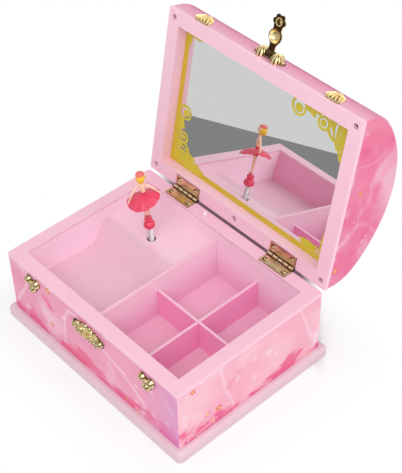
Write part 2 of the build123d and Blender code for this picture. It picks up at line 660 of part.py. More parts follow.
def lid_screw_spots():
    x = HALF_L - LID_SCREW_INSET
    y = HALF_D - LID_SCREW_INSET
    return [(-x, -y), (x, -y), (-x, y), (x, y), (0, y)]


def make_lid_shell():
    z0 = Z_LID + FLANGE_T
    outer = extrude(lid_outline(0, z0), LID_HALF_L, both=True)
    ends = outer.faces().sort_by(Axis.X)
    curved = [e for end in (ends[0], ends[-1]) for e in end.edges() if e.center().Z > z0 + LID_WALL / 4]
    outer = fillet(curved, LID_END_R)
    shell = outer - extrude(lid_outline(LID_SHELL_T, z0 - OVER), LID_HALF_L - LID_SHELL_T, both=True)
    z_post = Z_LID + LID_SCREW_SINK + LID_SCREW_GRIP
    for x, y in lid_screw_spots():
        post = rod_z(x, y, z_post, Z_LID + LID_WALL + LID_RISE, LID_POST_R)
        inside = extrude(lid_outline(LID_SHELL_T / 2, z0), LID_HALF_L - LID_SHELL_T / 2, both=True)
        shell += post & inside
        shell -= rod_z(x, y, z_post - OVER, z_post + LID_SCREW_LENGTH, LID_SCREW_R + RUN_CLEAR)
    for x, z in lid_nail_spots():
        shell -= rod_y(x, z, -LID_HALF_D - OVER, -LID_HALF_D + NAIL_LENGTH, NAIL_R + RUN_CLEAR)
    parts["lid_shell"] = opened(shell)


def make_lid_frame():
    z1 = Z_LID + FLANGE_T
    ox = CAV_X + TRAY_WALL
    oy = CAV_Y + TRAY_WALL
    frame = rounded_block(-LID_HALF_L, LID_HALF_L, -LID_HALF_D, LID_HALF_D, Z_LID, z1, BOX_CORNER_R)
    frame = fillet(frame.faces().sort_by(Axis.Z)[0].edges(), RIM_EDGE_R)
    z_mirror = Z_LID + MIRROR_DEPTH
    frame += block(-ox, ox, -oy, oy, z1 - FLANGE_T / 4, z_mirror)
    for x, y in lid_screw_spots():
        frame += rod_z(x, y, z1 - FLANGE_T / 4, Z_LID + LID_SCREW_SINK + LID_SCREW_GRIP, LID_PAD_R)
    frame -= block(-CAV_X, CAV_X, -CAV_Y, CAV_Y, Z_LID - OVER, z_mirror + OVER)
    for x, y in lid_screw_spots():
        frame -= rod_z(x, y, Z_LID - OVER, z_mirror + OVER, LID_SCREW_R + RUN_CLEAR)
        frame -= rod_z(x, y, Z_LID - OVER, Z_LID + LID_SCREW_SINK, LID_SCREW_HEAD_R + RUN_CLEAR)
    for x in HINGE_XS:
        half = HINGE_LENGTH / 2 + RUN_CLEAR
        leaf_front = HALF_D - LEAF_WIDTH - RUN_CLEAR
        frame -= block(x - half, x + half, leaf_front, LID_HALF_D + OVER, Z_LID - OVER, Z_LID + LEAF_SINK)
        frame -= block(x - half - SIDE_CLEAR, x + half + SIDE_CLEAR, Y_KNUCKLE_ROOM, LID_HALF_D + OVER,
                       Z_LID - OVER, HINGE_Z + KNUCKLE_R + SIDE_CLEAR)
    for x, y in hinge_screw_spots():
        frame -= rod_z(x, y, Z_LID - OVER, z1 + OVER, HINGE_SCREW_R + RUN_CLEAR)
    parts["lid_frame"] = opened(frame)
    mx = CAV_X + MIRROR_LAP
    my = CAV_Y + MIRROR_LAP
    z_back = z_mirror + MIRROR_T
    parts["mirror"] = opened(block(-mx, mx, -my, my, z_mirror, z_back))
    parts["mirror_backing"] = opened(block(-mx, mx, -my, my, z_back, z_back + BACKING_T))
    screws = []
    for x, y in lid_screw_spots():
        z_seat = Z_LID + LID_SCREW_SINK
        head = rod_z(x, y, z_seat - LID_SCREW_HEAD_T, z_seat, LID_SCREW_HEAD_R)
        screws.append(opened(head + rod_z(x, y, z_seat, z_seat + LID_SCREW_LENGTH, LID_SCREW_R)))
    parts["lid_screws"] = group(screws)


# Brass trim


def box_nail_spots():
    z_clip = Z_RIM - BOX_CLIP_DROP + BOX_CLIP_SPREAD / 2
    spots = [(x + side * BOX_CLIP_SPREAD, z_clip) for x in CLIP_XS for side in (-1, 1)]
    return spots + [(side * CATCH_END_X, Z_CATCH) for side in (-1, 1)]


def lid_nail_spots():
    spots = [(x, Z_LID + LID_CLIP_RISE + LID_CLIP_NAIL_RISE) for x in CLIP_XS]
    lug = HASP_KNUCKLE_LENGTH / 2 + SIDE_CLEAR + HASP_LUG_WIDTH
    return spots + [(side * (lug + NAIL_HEAD_R + NAIL_EDGE), HASP_Z) for side in (-1, 1)]


def front_nail(x, z, y_plate):
    """Nail through a plate whose front is at y_plate, pointing back."""
    head = rod_y(x, z, y_plate - NAIL_HEAD_T, y_plate, NAIL_HEAD_R)
    return head + rod_y(x, z, y_plate, y_plate + NAIL_LENGTH, NAIL_R)


def front_plate(sketch, y_wall):
    """Plate of the trim's thickness, its outline drawn in X and Z, lying on the wall at y_wall."""
    return extrude(Plane.XZ.offset(-y_wall) * sketch, TRIM_T)


def make_box_trim():
    y_plate = -HALF_D - TRIM_T
    for x, side in zip(CLIP_XS, ("left", "right")):
        z = Z_RIM - BOX_CLIP_DROP
        lobes = [(-BOX_CLIP_SPREAD, BOX_CLIP_SPREAD / 2), (BOX_CLIP_SPREAD, BOX_CLIP_SPREAD / 2),
                 (0, -BOX_CLIP_SPREAD)]
        outline = Pos(x, z) * Circle(BOX_CLIP_LOBE_R)
        for dx, dz in lobes:
            outline += Pos(x + dx, z + dz) * Circle(BOX_CLIP_LOBE_R)
        clip = front_plate(outline, -HALF_D)
        bead = BOX_CLIP_LOBE_R / 2
        for dx, dz in lobes[2:] + [(0, BOX_CLIP_SPREAD / 3)]:
            clip += Pos(x + dx, y_plate, z + dz) * Sphere(bead)
        for nx, nz in box_nail_spots():
            clip -= rod_y(nx, nz, y_plate - OVER, -HALF_D + OVER, NAIL_R + RUN_CLEAR)
        clip -= block(x - 2 * LID_CLIP_WIDTH, x + 2 * LID_CLIP_WIDTH, -HALF_D, -HALF_D + 2 * bead,
                      z - 2 * LID_CLIP_WIDTH, Z_RIM)
        parts[f"box_clip_{side}"] = clip
    outline = Pos(0, Z_CATCH) * RectangleRounded(CATCH_LENGTH, CATCH_HEIGHT, CATCH_HEIGHT / 3)
    for side in (-1, 1):
        outline += Pos(side * CATCH_END_X, Z_CATCH) * Circle(CATCH_END_R)
        outline += Pos(0, Z_CATCH + side * CATCH_HEIGHT / 2) * Ellipse(CATCH_LENGTH / 3, CATCH_HEIGHT / 3)
    plate = front_plate(outline, -HALF_D)
    plate += rod_y(0, Z_CATCH, y_plate - CATCH_STUD_T, y_plate + TRIM_T / 2, CATCH_STUD_R)
    for nx, nz in box_nail_spots():
        plate -= rod_y(nx, nz, y_plate - OVER, -HALF_D + OVER, NAIL_R + RUN_CLEAR)
    parts["catch_plate"] = plate
    parts["box_nails"] = group([front_nail(x, z, y_plate) for x, z in box_nail_spots()])


def make_lid_trim():
    y_wall = -LID_HALF_D
    y_plate = y_wall - TRIM_T
    for x, side in zip(CLIP_XS, ("left", "right")):
        z = Z_LID + LID_CLIP_RISE
        outline = Pos(x, z) * RectangleRounded(LID_CLIP_WIDTH, LID_CLIP_HEIGHT, LID_CLIP_WIDTH / 3)
        clip = front_plate(outline, y_wall)
        for i in (-1, 0, 1):
            rx = x + i * LID_CLIP_RIB_STEP
            z0 = z - LID_CLIP_HEIGHT / 2 + LID_CLIP_RIB_R + LID_CLIP_EDGE
            z1 = z0 + LID_CLIP_RIB_LENGTH - 2 * LID_CLIP_RIB_R
            clip += rod_z(rx, y_plate, z0, z1, LID_CLIP_RIB_R)
            clip += Pos(rx, y_plate, z0) * Sphere(LID_CLIP_RIB_R)
            clip += Pos(rx, y_plate, z1) * Sphere(LID_CLIP_RIB_R)
        clip -= block(x - LID_CLIP_WIDTH, x + LID_CLIP_WIDTH, y_wall, y_wall + LID_CLIP_RIB_R,
                      Z_LID - OVER, z + LID_CLIP_HEIGHT)
        for nx, nz in lid_nail_spots():
            clip -= rod_y(nx, nz, y_plate - OVER, y_wall + OVER, NAIL_R + RUN_CLEAR)
        parts[f"lid_clip_{side}"] = opened(clip)
    lug_x = HASP_KNUCKLE_LENGTH / 2 + SIDE_CLEAR + HASP_LUG_WIDTH / 2
    width = 2 * (lug_x + HASP_LUG_WIDTH / 2 + 2 * NAIL_HEAD_R + HASP_BRACKET_END)
    outline = Pos(0, HASP_Z) * RectangleRounded(width, HASP_BRACKET_HEIGHT, HASP_BRACKET_HEIGHT / 3)
    bracket = front_plate(outline, y_wall)
    for side in (-1, 1):
        lug = Pos(side * lug_x, y_wall - HASP_LUG_DEPTH / 2, HASP_Z) * Box(
            HASP_LUG_WIDTH, HASP_LUG_DEPTH, HASP_LUG_HEIGHT)
        crest = lug.edges().filter_by(Axis.X).group_by(Axis.Y)[0]
        bracket += fillet(crest, HASP_LUG_DEPTH / 2)
    bracket -= rod_x(HASP_Y, HASP_Z, -width, width, HASP_PIN_R + RUN_CLEAR)
    room = HASP_KNUCKLE_LENGTH / 2 + SIDE_CLEAR
    bracket -= rod_x(HASP_Y, HASP_Z, -room, room, HASP_KNUCKLE_R + SIDE_CLEAR)
    for nx, nz in lid_nail_spots():
        bracket -= rod_y(nx, nz, y_plate - OVER, y_wall + OVER, NAIL_R + RUN_CLEAR)
    parts["hasp_bracket"] = opened(bracket)
    reach = lug_x + HASP_LUG_WIDTH / 2
    parts["hasp_pin"] = opened(rod_x(HASP_Y, HASP_Z, -reach, reach, HASP_PIN_R))
    parts["lid_nails"] = group([opened(front_nail(x, z, y_plate)) for x, z in lid_nail_spots()])


def make_hasp():
    body = HASP_END_AT - HASP_SHOULDER_AT
    outline = Pos(0, -HASP_SHOULDER_AT / 2) * Rectangle(HASP_NECK_WIDTH, HASP_SHOULDER_AT)
    outline += Pos(0, -HASP_SHOULDER_AT - body / 2) * Rectangle(HASP_BODY_WIDTH, body)
    outline += Pos(0, -HASP_BOSS_AT) * Circle(HASP_BOSS_R)
    for i in range(HASP_PETALS):
        a = 2 * math.pi * i / HASP_PETALS
        outline += Pos(HASP_PETAL_RING * math.cos(a), HASP_PETAL_RING * math.sin(a) - HASP_END_AT) * Circle(
            HASP_PETAL_R)
    outline += Pos(0, -HASP_END_AT) * Circle(HASP_PETAL_RING)
    outline -= Pos(0, -HASP_END_AT) * Circle(HASP_EYE_R)
    flap = extrude(Pos(0, 0, -HASP_T / 2) * outline, HASP_T)
    foot = HASP_BOSS_R - HASP_BOSS_EDGE
    ball = (foot ** 2 + HASP_BOSS_RISE ** 2) / (2 * HASP_BOSS_RISE)
    middle = Pos(0, -HASP_BOSS_AT, HASP_BOSS_RISE - ball)
    above = Pos(0, -HASP_BOSS_AT, HASP_BOSS_RISE / 2) * Box(2 * ball, 2 * ball, HASP_BOSS_RISE)
    flap += (middle * Sphere(ball)) & above
    flap += rod_x(0, 0, -HASP_KNUCKLE_LENGTH / 2, HASP_KNUCKLE_LENGTH / 2, HASP_KNUCKLE_R)
    flap -= middle * Sphere(ball - HASP_BOSS_WALL)
    flap -= rod_x(0, 0, -HASP_KNUCKLE_LENGTH, HASP_KNUCKLE_LENGTH, HASP_PIN_R + RUN_CLEAR)
    parts["hasp_flap"] = opened(Pos(0, HASP_Y, HASP_Z) * Rot(X=-HASP_LIFT) * flap)


# Dancer


def leaned(degrees):
    """Turn that tips the upright axis by so many degrees toward the lean."""
    return Rot(Z=LEAN_TOWARD) * Rot(Y=degrees) * Rot(Z=-LEAN_TOWARD)


def on_dancer(shape):
    """Puts a piece drawn upright over the platform hole on top of the bent spring."""
    bend_at = SPRING_TOP - SPRING_HALF
    turned = leaned(LEAN) * Rot(Z=FIGURE_TURN) * Pos(0, 0, -bend_at)
    return Pos(DANCER_X, DANCER_Y, Z_PLATFORM + bend_at) * turned * shape


def spring_wire():
    """Coil on an axis that bends from upright to the lean, with straight ends square to what they meet."""
    length = SPRING_BEND_R * math.radians(LEAN)
    start = 2 * SPRING_WIRE
    run = length - 2 * start
    quarters = int(run / SPRING_TURN_RISE * 4)

    def on_axis(along_axis, point):
        """A point of the coil's cross-section, carried along the bent axis."""
        tip = LEAN * along_axis / length
        angle = math.radians(tip)
        out = SPRING_BEND_R * (1 - math.cos(angle))
        up = SPRING_BEND_R * math.sin(angle)
        toward = math.radians(LEAN_TOWARD)
        centre = Pos(out * math.cos(toward), out * math.sin(toward), up)
        return Vector(*(centre * leaned(tip) * Pos(*point)).position)

    def spot(i):
        a = math.pi / 2 * i
        return on_axis(start + run * i / quarters, (SPRING_R * math.cos(a), SPRING_R * math.sin(a), 0))

    def heading(i):
        near = 0.01
        return (spot(i + near) - spot(i - near)).normalized()

    up = Vector(0, 0, 1)
    top = on_axis(length, (0, 0, 1)) - on_axis(length, (0, 0, 0))
    a = math.pi / 2 * quarters
    away = SPRING_WIRE
    foot_at = (SPRING_R, -away, 0)
    head_at = (SPRING_R * math.cos(a) - away * math.sin(a), SPRING_R * math.sin(a) + away * math.cos(a), 0)
    foot = on_axis(0, foot_at)
    head = on_axis(length, head_at)
    knee = foot + up * SPRING_WIRE
    neck = head - top * SPRING_WIRE
    edges = [Line(foot, knee)]
    edges += biarc(knee, up, spot(0), heading(0))
    for i in range(quarters):
        edges += biarc(spot(i), heading(i), spot(i + 1), heading(i + 1))
    edges += biarc(spot(quarters), heading(quarters), neck, top)
    edges.append(Line(neck, head))
    path = Wire(edges)
    section = Plane(origin=foot, z_dir=up) * Circle(SPRING_WIRE / 2)
    samples = 400
    past_half_turn = 0.6
    points = [path.position_at(i / samples) for i in range(samples + 1)]
    apart = math.ceil(2 * math.pi * SPRING_R * past_half_turn * samples / path.length)
    pairs = [(p, q) for i, p in enumerate(points) for q in points[i + apart:]]
    gap = min((p - q).length for p, q in pairs) - SPRING_WIRE
    print(f"dancer spring: wire {path.length:.1f} mm, least gap {gap:.2f} mm")
    return Pos(DANCER_X, DANCER_Y, Z_PLATFORM - SPRING_FOOT) * sweep(section, path)


def make_dancer():
    parts["dancer_spring"] = spring_wire()
    z0 = SPRING_TOP
    z1 = z0 + PEDESTAL_T
    pedestal = rod_z(0, 0, z0, z1, PEDESTAL_R)
    edge = min(PEDESTAL_EDGE_R, PEDESTAL_T / 2 - EDGE_FLAT)
    pedestal = fillet(pedestal.edges().filter_by(GeomType.CIRCLE), edge)
    z_feet = z1 + PEDESTAL_TIER_T
    tier = rod_z(0, 0, z1 - edge, z_feet, PEDESTAL_TIER_R)
    rim = tier.edges().filter_by(GeomType.CIRCLE).group_by(Axis.Z)[-1]
    pedestal += fillet(rim, min(PEDESTAL_TIER_EDGE_R, PEDESTAL_TIER_T / 2))
    parts["dancer_pedestal"] = on_dancer(pedestal)
    figure = None
    for side in (-1, 1):
        leg_height = LEG_TOP - z_feet
        leg = Pos(side * LEG_SPREAD, 0, z_feet) * Cone(LEG_ANKLE_R, LEG_THIGH_R, leg_height, align=LOW)
        figure = leg if figure is None else figure + leg
    figure += rod_z(0, 0, LEG_TOP - OVER, SKIRT_WAIST + OVER, WAIST_R)
    figure += Pos(0, 0, SKIRT_WAIST) * Cone(WAIST_R, SHOULDER_R, SHOULDER_AT - SKIRT_WAIST, align=LOW)
    figure += Pos(0, 0, SHOULDER_AT) * Cone(SHOULDER_R, NECK_R, SHOULDER_R - NECK_R, align=LOW)
    figure += rod_z(0, 0, SHOULDER_AT, HEAD_AT, NECK_R)
    figure += Pos(0, 0, HEAD_AT) * Sphere(HEAD_R)
    figure += Pos(0, -HEAD_R, HEAD_AT + BUN_RISE) * Sphere(BUN_R)
    for side, out, at in ((-1, LEFT_HAND_OUT, LEFT_HAND_AT), (1, RIGHT_HAND_OUT, RIGHT_HAND_AT)):
        shoulder = Vector(side * (SHOULDER_R - ARM_R), 0, SHOULDER_AT - ARM_R)
        hand = Vector(side * out, 0, at)
        reach = hand - shoulder
        figure += Plane(origin=shoulder, z_dir=reach) * Cylinder(ARM_R, reach.length, align=LOW)
        figure += Pos(*shoulder) * Sphere(ARM_R)
        figure += Pos(*hand) * Sphere(ARM_R)
    parts["dancer_figure"] = on_dancer(figure)
    start = WAIST_R - SKIRT_LET_IN
    mid_r = (start + SKIRT_R) / 2
    mid_z = (SKIRT_EDGE + SKIRT_WAIST) / 2 + SKIRT_BULGE
    upper = ThreePointArc((start, SKIRT_WAIST), (mid_r, mid_z), (SKIRT_R, SKIRT_EDGE))
    lower = Pos(0, -SKIRT_T) * upper
    rim = Line(upper @ 1, lower @ 1)
    inner = Line(lower @ 0, upper @ 0)
    profile = Plane.XZ * make_face([upper, rim, lower, inner])
    tilt = Pos(0, 0, SKIRT_WAIST) * Rot(Y=-SKIRT_TILT) * Pos(0, 0, -SKIRT_WAIST)
    parts["dancer_skirt"] = on_dancer(tilt * revolve(profile, Axis.Z) - figure)


# Movement


def make_bedplate():
    y0 = DANCER_Y - BEDPLATE_FRONT
    y1 = DANCER_Y + BEDPLATE_BACK
    plate = block(BED_LEFT, BED_RIGHT, y0, y1, PLINTH_FLOOR, Z_BED)
    for x, y in bed_screw_spots():
        plate -= rod_z(x, y, PLINTH_FLOOR - OVER, Z_BED + OVER, BED_SCREW_R + RUN_CLEAR)
    plate -= rod_z(DANCER_X, DANCER_Y, PLINTH_FLOOR - OVER, Z_BED + OVER, SPINDLE_PIVOT_R + RUN_CLEAR)
    plate -= rod_z(GOVERNOR_X, DANCER_Y, PLINTH_FLOOR - OVER, Z_BED + OVER, GOVERNOR_ARBOR_R + RUN_CLEAR)
    parts["bedplate"] = plate
    screws = []
    for x, y in bed_screw_spots():
        head = rod_z(x, y, RUN_CLEAR, BED_SCREW_HEAD_T, BED_SCREW_HEAD_R)
        screws.append(head + rod_z(x, y, BED_SCREW_HEAD_T, Z_BED, BED_SCREW_R))
    parts["movement_screws"] = group(screws)


def make_bracket():
    half = BRACKET_WIDTH / 2
    top = Z_AXLE + BRACKET_ABOVE
    bracket = block(DANCER_X - half, DANCER_X + half, Y_BRACKET, Y_BRACKET_END, Z_BED, top)
    y_foot = Y_BRACKET + BRACKET_FOOT
    bracket += block(DANCER_X - half, DANCER_X + half, Y_BRACKET_END, y_foot, Z_BED, Z_BED + BRACKET_T)
    bracket -= rod_y(DANCER_X, Z_AXLE, Y_BRACKET - OVER, Y_BRACKET_END + OVER, ARBOR_R + RUN_CLEAR)
    parts["barrel_bracket"] = bracket
    z0 = Z_AXLE + RATCHET_R + SIDE_CLEAR
    click = block(DANCER_X - half, DANCER_X + half / 2, Y_RATCHET, Y_BRACKET, z0, z0 + CLICK_T)
    parts["click_spring"] = click


def make_barrel():
    teeth = []
    root_y = Y_DISC + CROWN_TOOTH_SINK
    tip_y = Y_CROWN - TOOTH_ADDENDUM
    levels = [(root_y, TOOTH_ROOT_SHARE), (Y_CROWN, 1), (tip_y, TOOTH_TIP_SHARE)]
    left = [(DANCER_X - share * TOOTH_T / 2, y) for y, share in levels]
    right = [(DANCER_X + share * TOOTH_T / 2, y) for y, share in reversed(levels)]
    outline = Polygon(*left, *right, align=None)
    tooth = extrude(Pos(0, 0, Z_GEAR - CROWN_TOOTH_LENGTH / 2) * outline, CROWN_TOOTH_LENGTH)
    axle = Axis((DANCER_X, 0, Z_AXLE), (0, 1, 0))
    for i in range(CROWN_TEETH):
        teeth.append(tooth.rotate(axle, 360 * i / CROWN_TEETH))
    disc_r = CROWN_R + CROWN_TOOTH_LENGTH / 2 + CROWN_RIM
    barrel = rod_y(DANCER_X, Z_AXLE, Y_DISC, Y_DRUM, disc_r) + teeth
    barrel += rod_y(DANCER_X, Z_AXLE, Y_DRUM - BARREL_WALL, Y_DRUM_END, BARREL_R)
    barrel -= rod_y(DANCER_X, Z_AXLE, Y_DRUM, Y_DRUM_END + OVER, BARREL_R - BARREL_WALL)
    barrel -= rod_y(DANCER_X, Z_AXLE, Y_DISC - OVER, Y_DRUM + OVER, ARBOR_R + RUN_CLEAR)
    parts["spring_barrel"] = barrel
    cover = rod_y(DANCER_X, Z_AXLE, Y_DRUM_END - BARREL_WALL, Y_DRUM_END, BARREL_R - BARREL_WALL - RUN_CLEAR)
    cover -= rod_y(DANCER_X, Z_AXLE, Y_DRUM, Y_DRUM_END + OVER, ARBOR_R + RUN_CLEAR)
    parts["barrel_cover"] = cover
    edges = {1: [], -1: []}
    for i in range(2 * MAINSPRING_TURNS):
        r = MAINSPRING_INNER_R + MAINSPRING_STEP / 2 * i
        centre = -MAINSPRING_STEP / 4 * (-1) ** i
        for side in (1, -1):
            radius = r + side * MAINSPRING_T / 2
            edges[side].append(CenterArc((centre, 0), radius, 180 * (i % 2), 180))
    inner = edges[-1]
    outer = edges[1]
    ends = [Line(inner[0] @ 0, outer[0] @ 0), Line(inner[-1] @ 1, outer[-1] @ 1)]
    strip = make_face(inner + outer + ends)
    hook_x = (outer[-1] @ 1).X - MAINSPRING_T
    hook_end = BARREL_R - BARREL_WALL - RUN_CLEAR / 5
    strip += Pos((hook_x + hook_end) / 2, 0) * Rectangle(hook_end - hook_x, MAINSPRING_T)
    width = BARREL_LENGTH - BARREL_WALL - 2 * SIDE_CLEAR
    spring = Pos(DANCER_X, Y_DRUM + SIDE_CLEAR, Z_AXLE) * Rot(X=-90) * extrude(strip, width)
    parts["mainspring"] = spring


def make_winding():
    arbor = rod_y(DANCER_X, Z_AXLE, Y_DISC, Y_BRACKET_END, ARBOR_R)
    y_out = HALF_D + KEY_GAP + KEY_STEM_LENGTH / 2
    arbor += rod_y(DANCER_X, Z_AXLE, Y_BRACKET_END, y_out, ARBOR_END_R)
    parts["winding_arbor"] = arbor
    points = []
    root = RATCHET_R - RATCHET_TOOTH_DEPTH
    for i in range(RATCHET_TEETH):
        a = 2 * math.pi * i / RATCHET_TEETH
        b = a + 2 * math.pi / RATCHET_TEETH * RATCHET_TOOTH_RUN
        points.append((RATCHET_R * math.cos(a), RATCHET_R * math.sin(a)))
        points.append((root * math.cos(b), root * math.sin(b)))
    wheel = extrude(Polygon(*points, align=None), RATCHET_T)
    wheel = Pos(DANCER_X, Y_RATCHET, Z_AXLE) * Rot(X=-90) * wheel
    wheel -= rod_y(DANCER_X, Z_AXLE, Y_RATCHET - OVER, Y_BRACKET, ARBOR_R)
    parts["ratchet_wheel"] = wheel
    y0 = HALF_D + KEY_GAP
    y1 = y0 + KEY_STEM_LENGTH
    key = rod_y(DANCER_X, Z_AXLE, y0, y1, KEY_STEM_R)
    y_wing = y1 + KEY_WING_R - KEY_WING_SINK
    wings = Pos(DANCER_X, y_wing) * Rectangle(2 * KEY_WING_R, KEY_WING_R)
    for side in (-1, 1):
        wings += Pos(DANCER_X + side * KEY_WING_R, y_wing) * Circle(KEY_WING_R)
    wings += Pos(DANCER_X, y1) * Rectangle(2 * KEY_STEM_R, KEY_NECK)
    for side in (-1, 1):
        wings -= Pos(DANCER_X + side * KEY_WING_R, y_wing) * Circle(KEY_WING_HOLE_R)
    key += extrude(Pos(0, 0, Z_AXLE - KEY_T / 2) * wings, KEY_T)
    key -= rod_y(DANCER_X, Z_AXLE, y0 - OVER, y_out, ARBOR_END_R)
    parts["winding_key"] = key


def make_cylinder():
    tune = rod_z(DANCER_X, DANCER_Y, Z_CYLINDER, Z_CYLINDER_TOP, CYLINDER_R)
    z_cap = Z_CYLINDER_TOP - CYLINDER_CAP
    tune -= rod_z(DANCER_X, DANCER_Y, Z_CYLINDER - OVER, z_cap, CYLINDER_R - CYLINDER_WALL)
    tune -= rod_z(DANCER_X, DANCER_Y, Z_CYLINDER, Z_CYLINDER_TOP + OVER, SPINDLE_R)
    pins = []
    for track in range(COMB_TEETH):
        z = Z_COMB + COMB_STEP * (track + 0.5)
        for i in range(TUNE_PINS_PER_TRACK):
            a = TUNE_PIN_TWIST * track + 360 * i / TUNE_PINS_PER_TRACK
            pin = Pos(CYLINDER_R - CYLINDER_WALL / 2, 0, 0) * Rot(Y=90) * Cylinder(
                TUNE_PIN_R, CYLINDER_WALL / 2 + TUNE_PIN_HEIGHT, align=LOW)
            pins.append(Pos(DANCER_X, DANCER_Y, z) * Rot(Z=a) * pin)
    parts["tune_cylinder"] = tune + pins
    gear_phase = 90 + 180 / CYLINDER_TEETH
    outline = spur_outline(CYLINDER_TEETH, GEAR_MODULE, TOOTH_ADDENDUM, TOOTH_DEDENDUM, TOOTH_T, gear_phase)
    gear = extrude(Pos(DANCER_X, DANCER_Y, Z_GEAR_LOW) * outline, GEAR_FACE)
    gear -= rod_z(DANCER_X, DANCER_Y, Z_GEAR_LOW - OVER, Z_GEAR_HIGH + OVER, SPINDLE_R)
    parts["cylinder_gear"] = gear
    z_head = Z_PLATFORM - SPRING_FOOT
    spindle = rod_z(DANCER_X, DANCER_Y, Z_BED + RUN_CLEAR, z_head, SPINDLE_R)
    spindle += rod_z(DANCER_X, DANCER_Y, PLINTH_FLOOR + SIDE_CLEAR, Z_BED + RUN_CLEAR, SPINDLE_PIVOT_R)
    spindle += rod_z(DANCER_X, DANCER_Y, Z_BED + RUN_CLEAR, Z_CYLINDER - SIDE_CLEAR, SPINDLE_COLLAR_R)
    spindle += rod_z(DANCER_X, DANCER_Y, z_head - SPINDLE_HEAD_T, z_head, SPINDLE_HEAD_R)
    parts["spindle"] = spindle
    return gear_phase


def make_comb():
    y0 = DANCER_Y - COMB_T / 2
    y1 = DANCER_Y + COMB_T / 2
    comb = block(COMB_END_X, COMB_TIP_X, y0, y1, Z_COMB, Z_COMB + COMB_SPAN)
    for i in range(1, COMB_TEETH):
        z = Z_COMB + i * COMB_STEP
        slot = block(COMB_ROOT_X, COMB_TIP_X + OVER, y0 - OVER, y1 + OVER, 0, COMB_SLOT)
        comb -= Pos(0, 0, z - COMB_SLOT / 2) * slot
    support = block(COMB_END_X, COMB_ROOT_X, y1, y1 + COMB_BLOCK_T, Z_BED, Z_COMB + COMB_SPAN)
    screws = []
    for share in COMB_SCREW_SHARES:
        x = COMB_END_X + COMB_BASE / 2
        z = Z_COMB + COMB_SPAN * share
        hole = rod_y(x, z, y0 - OVER, y0 + COMB_SCREW_LENGTH + COMB_SCREW_ROOM, COMB_SCREW_R + RUN_CLEAR)
        comb -= hole
        support -= hole
        head = rod_y(x, z, y0 - COMB_SCREW_HEAD_T, y0, COMB_SCREW_HEAD_R)
        screws.append(head + rod_y(x, z, y0, y0 + COMB_SCREW_LENGTH, COMB_SCREW_R))
    parts["comb"] = comb
    parts["comb_block"] = support
    parts["comb_screws"] = group(screws)


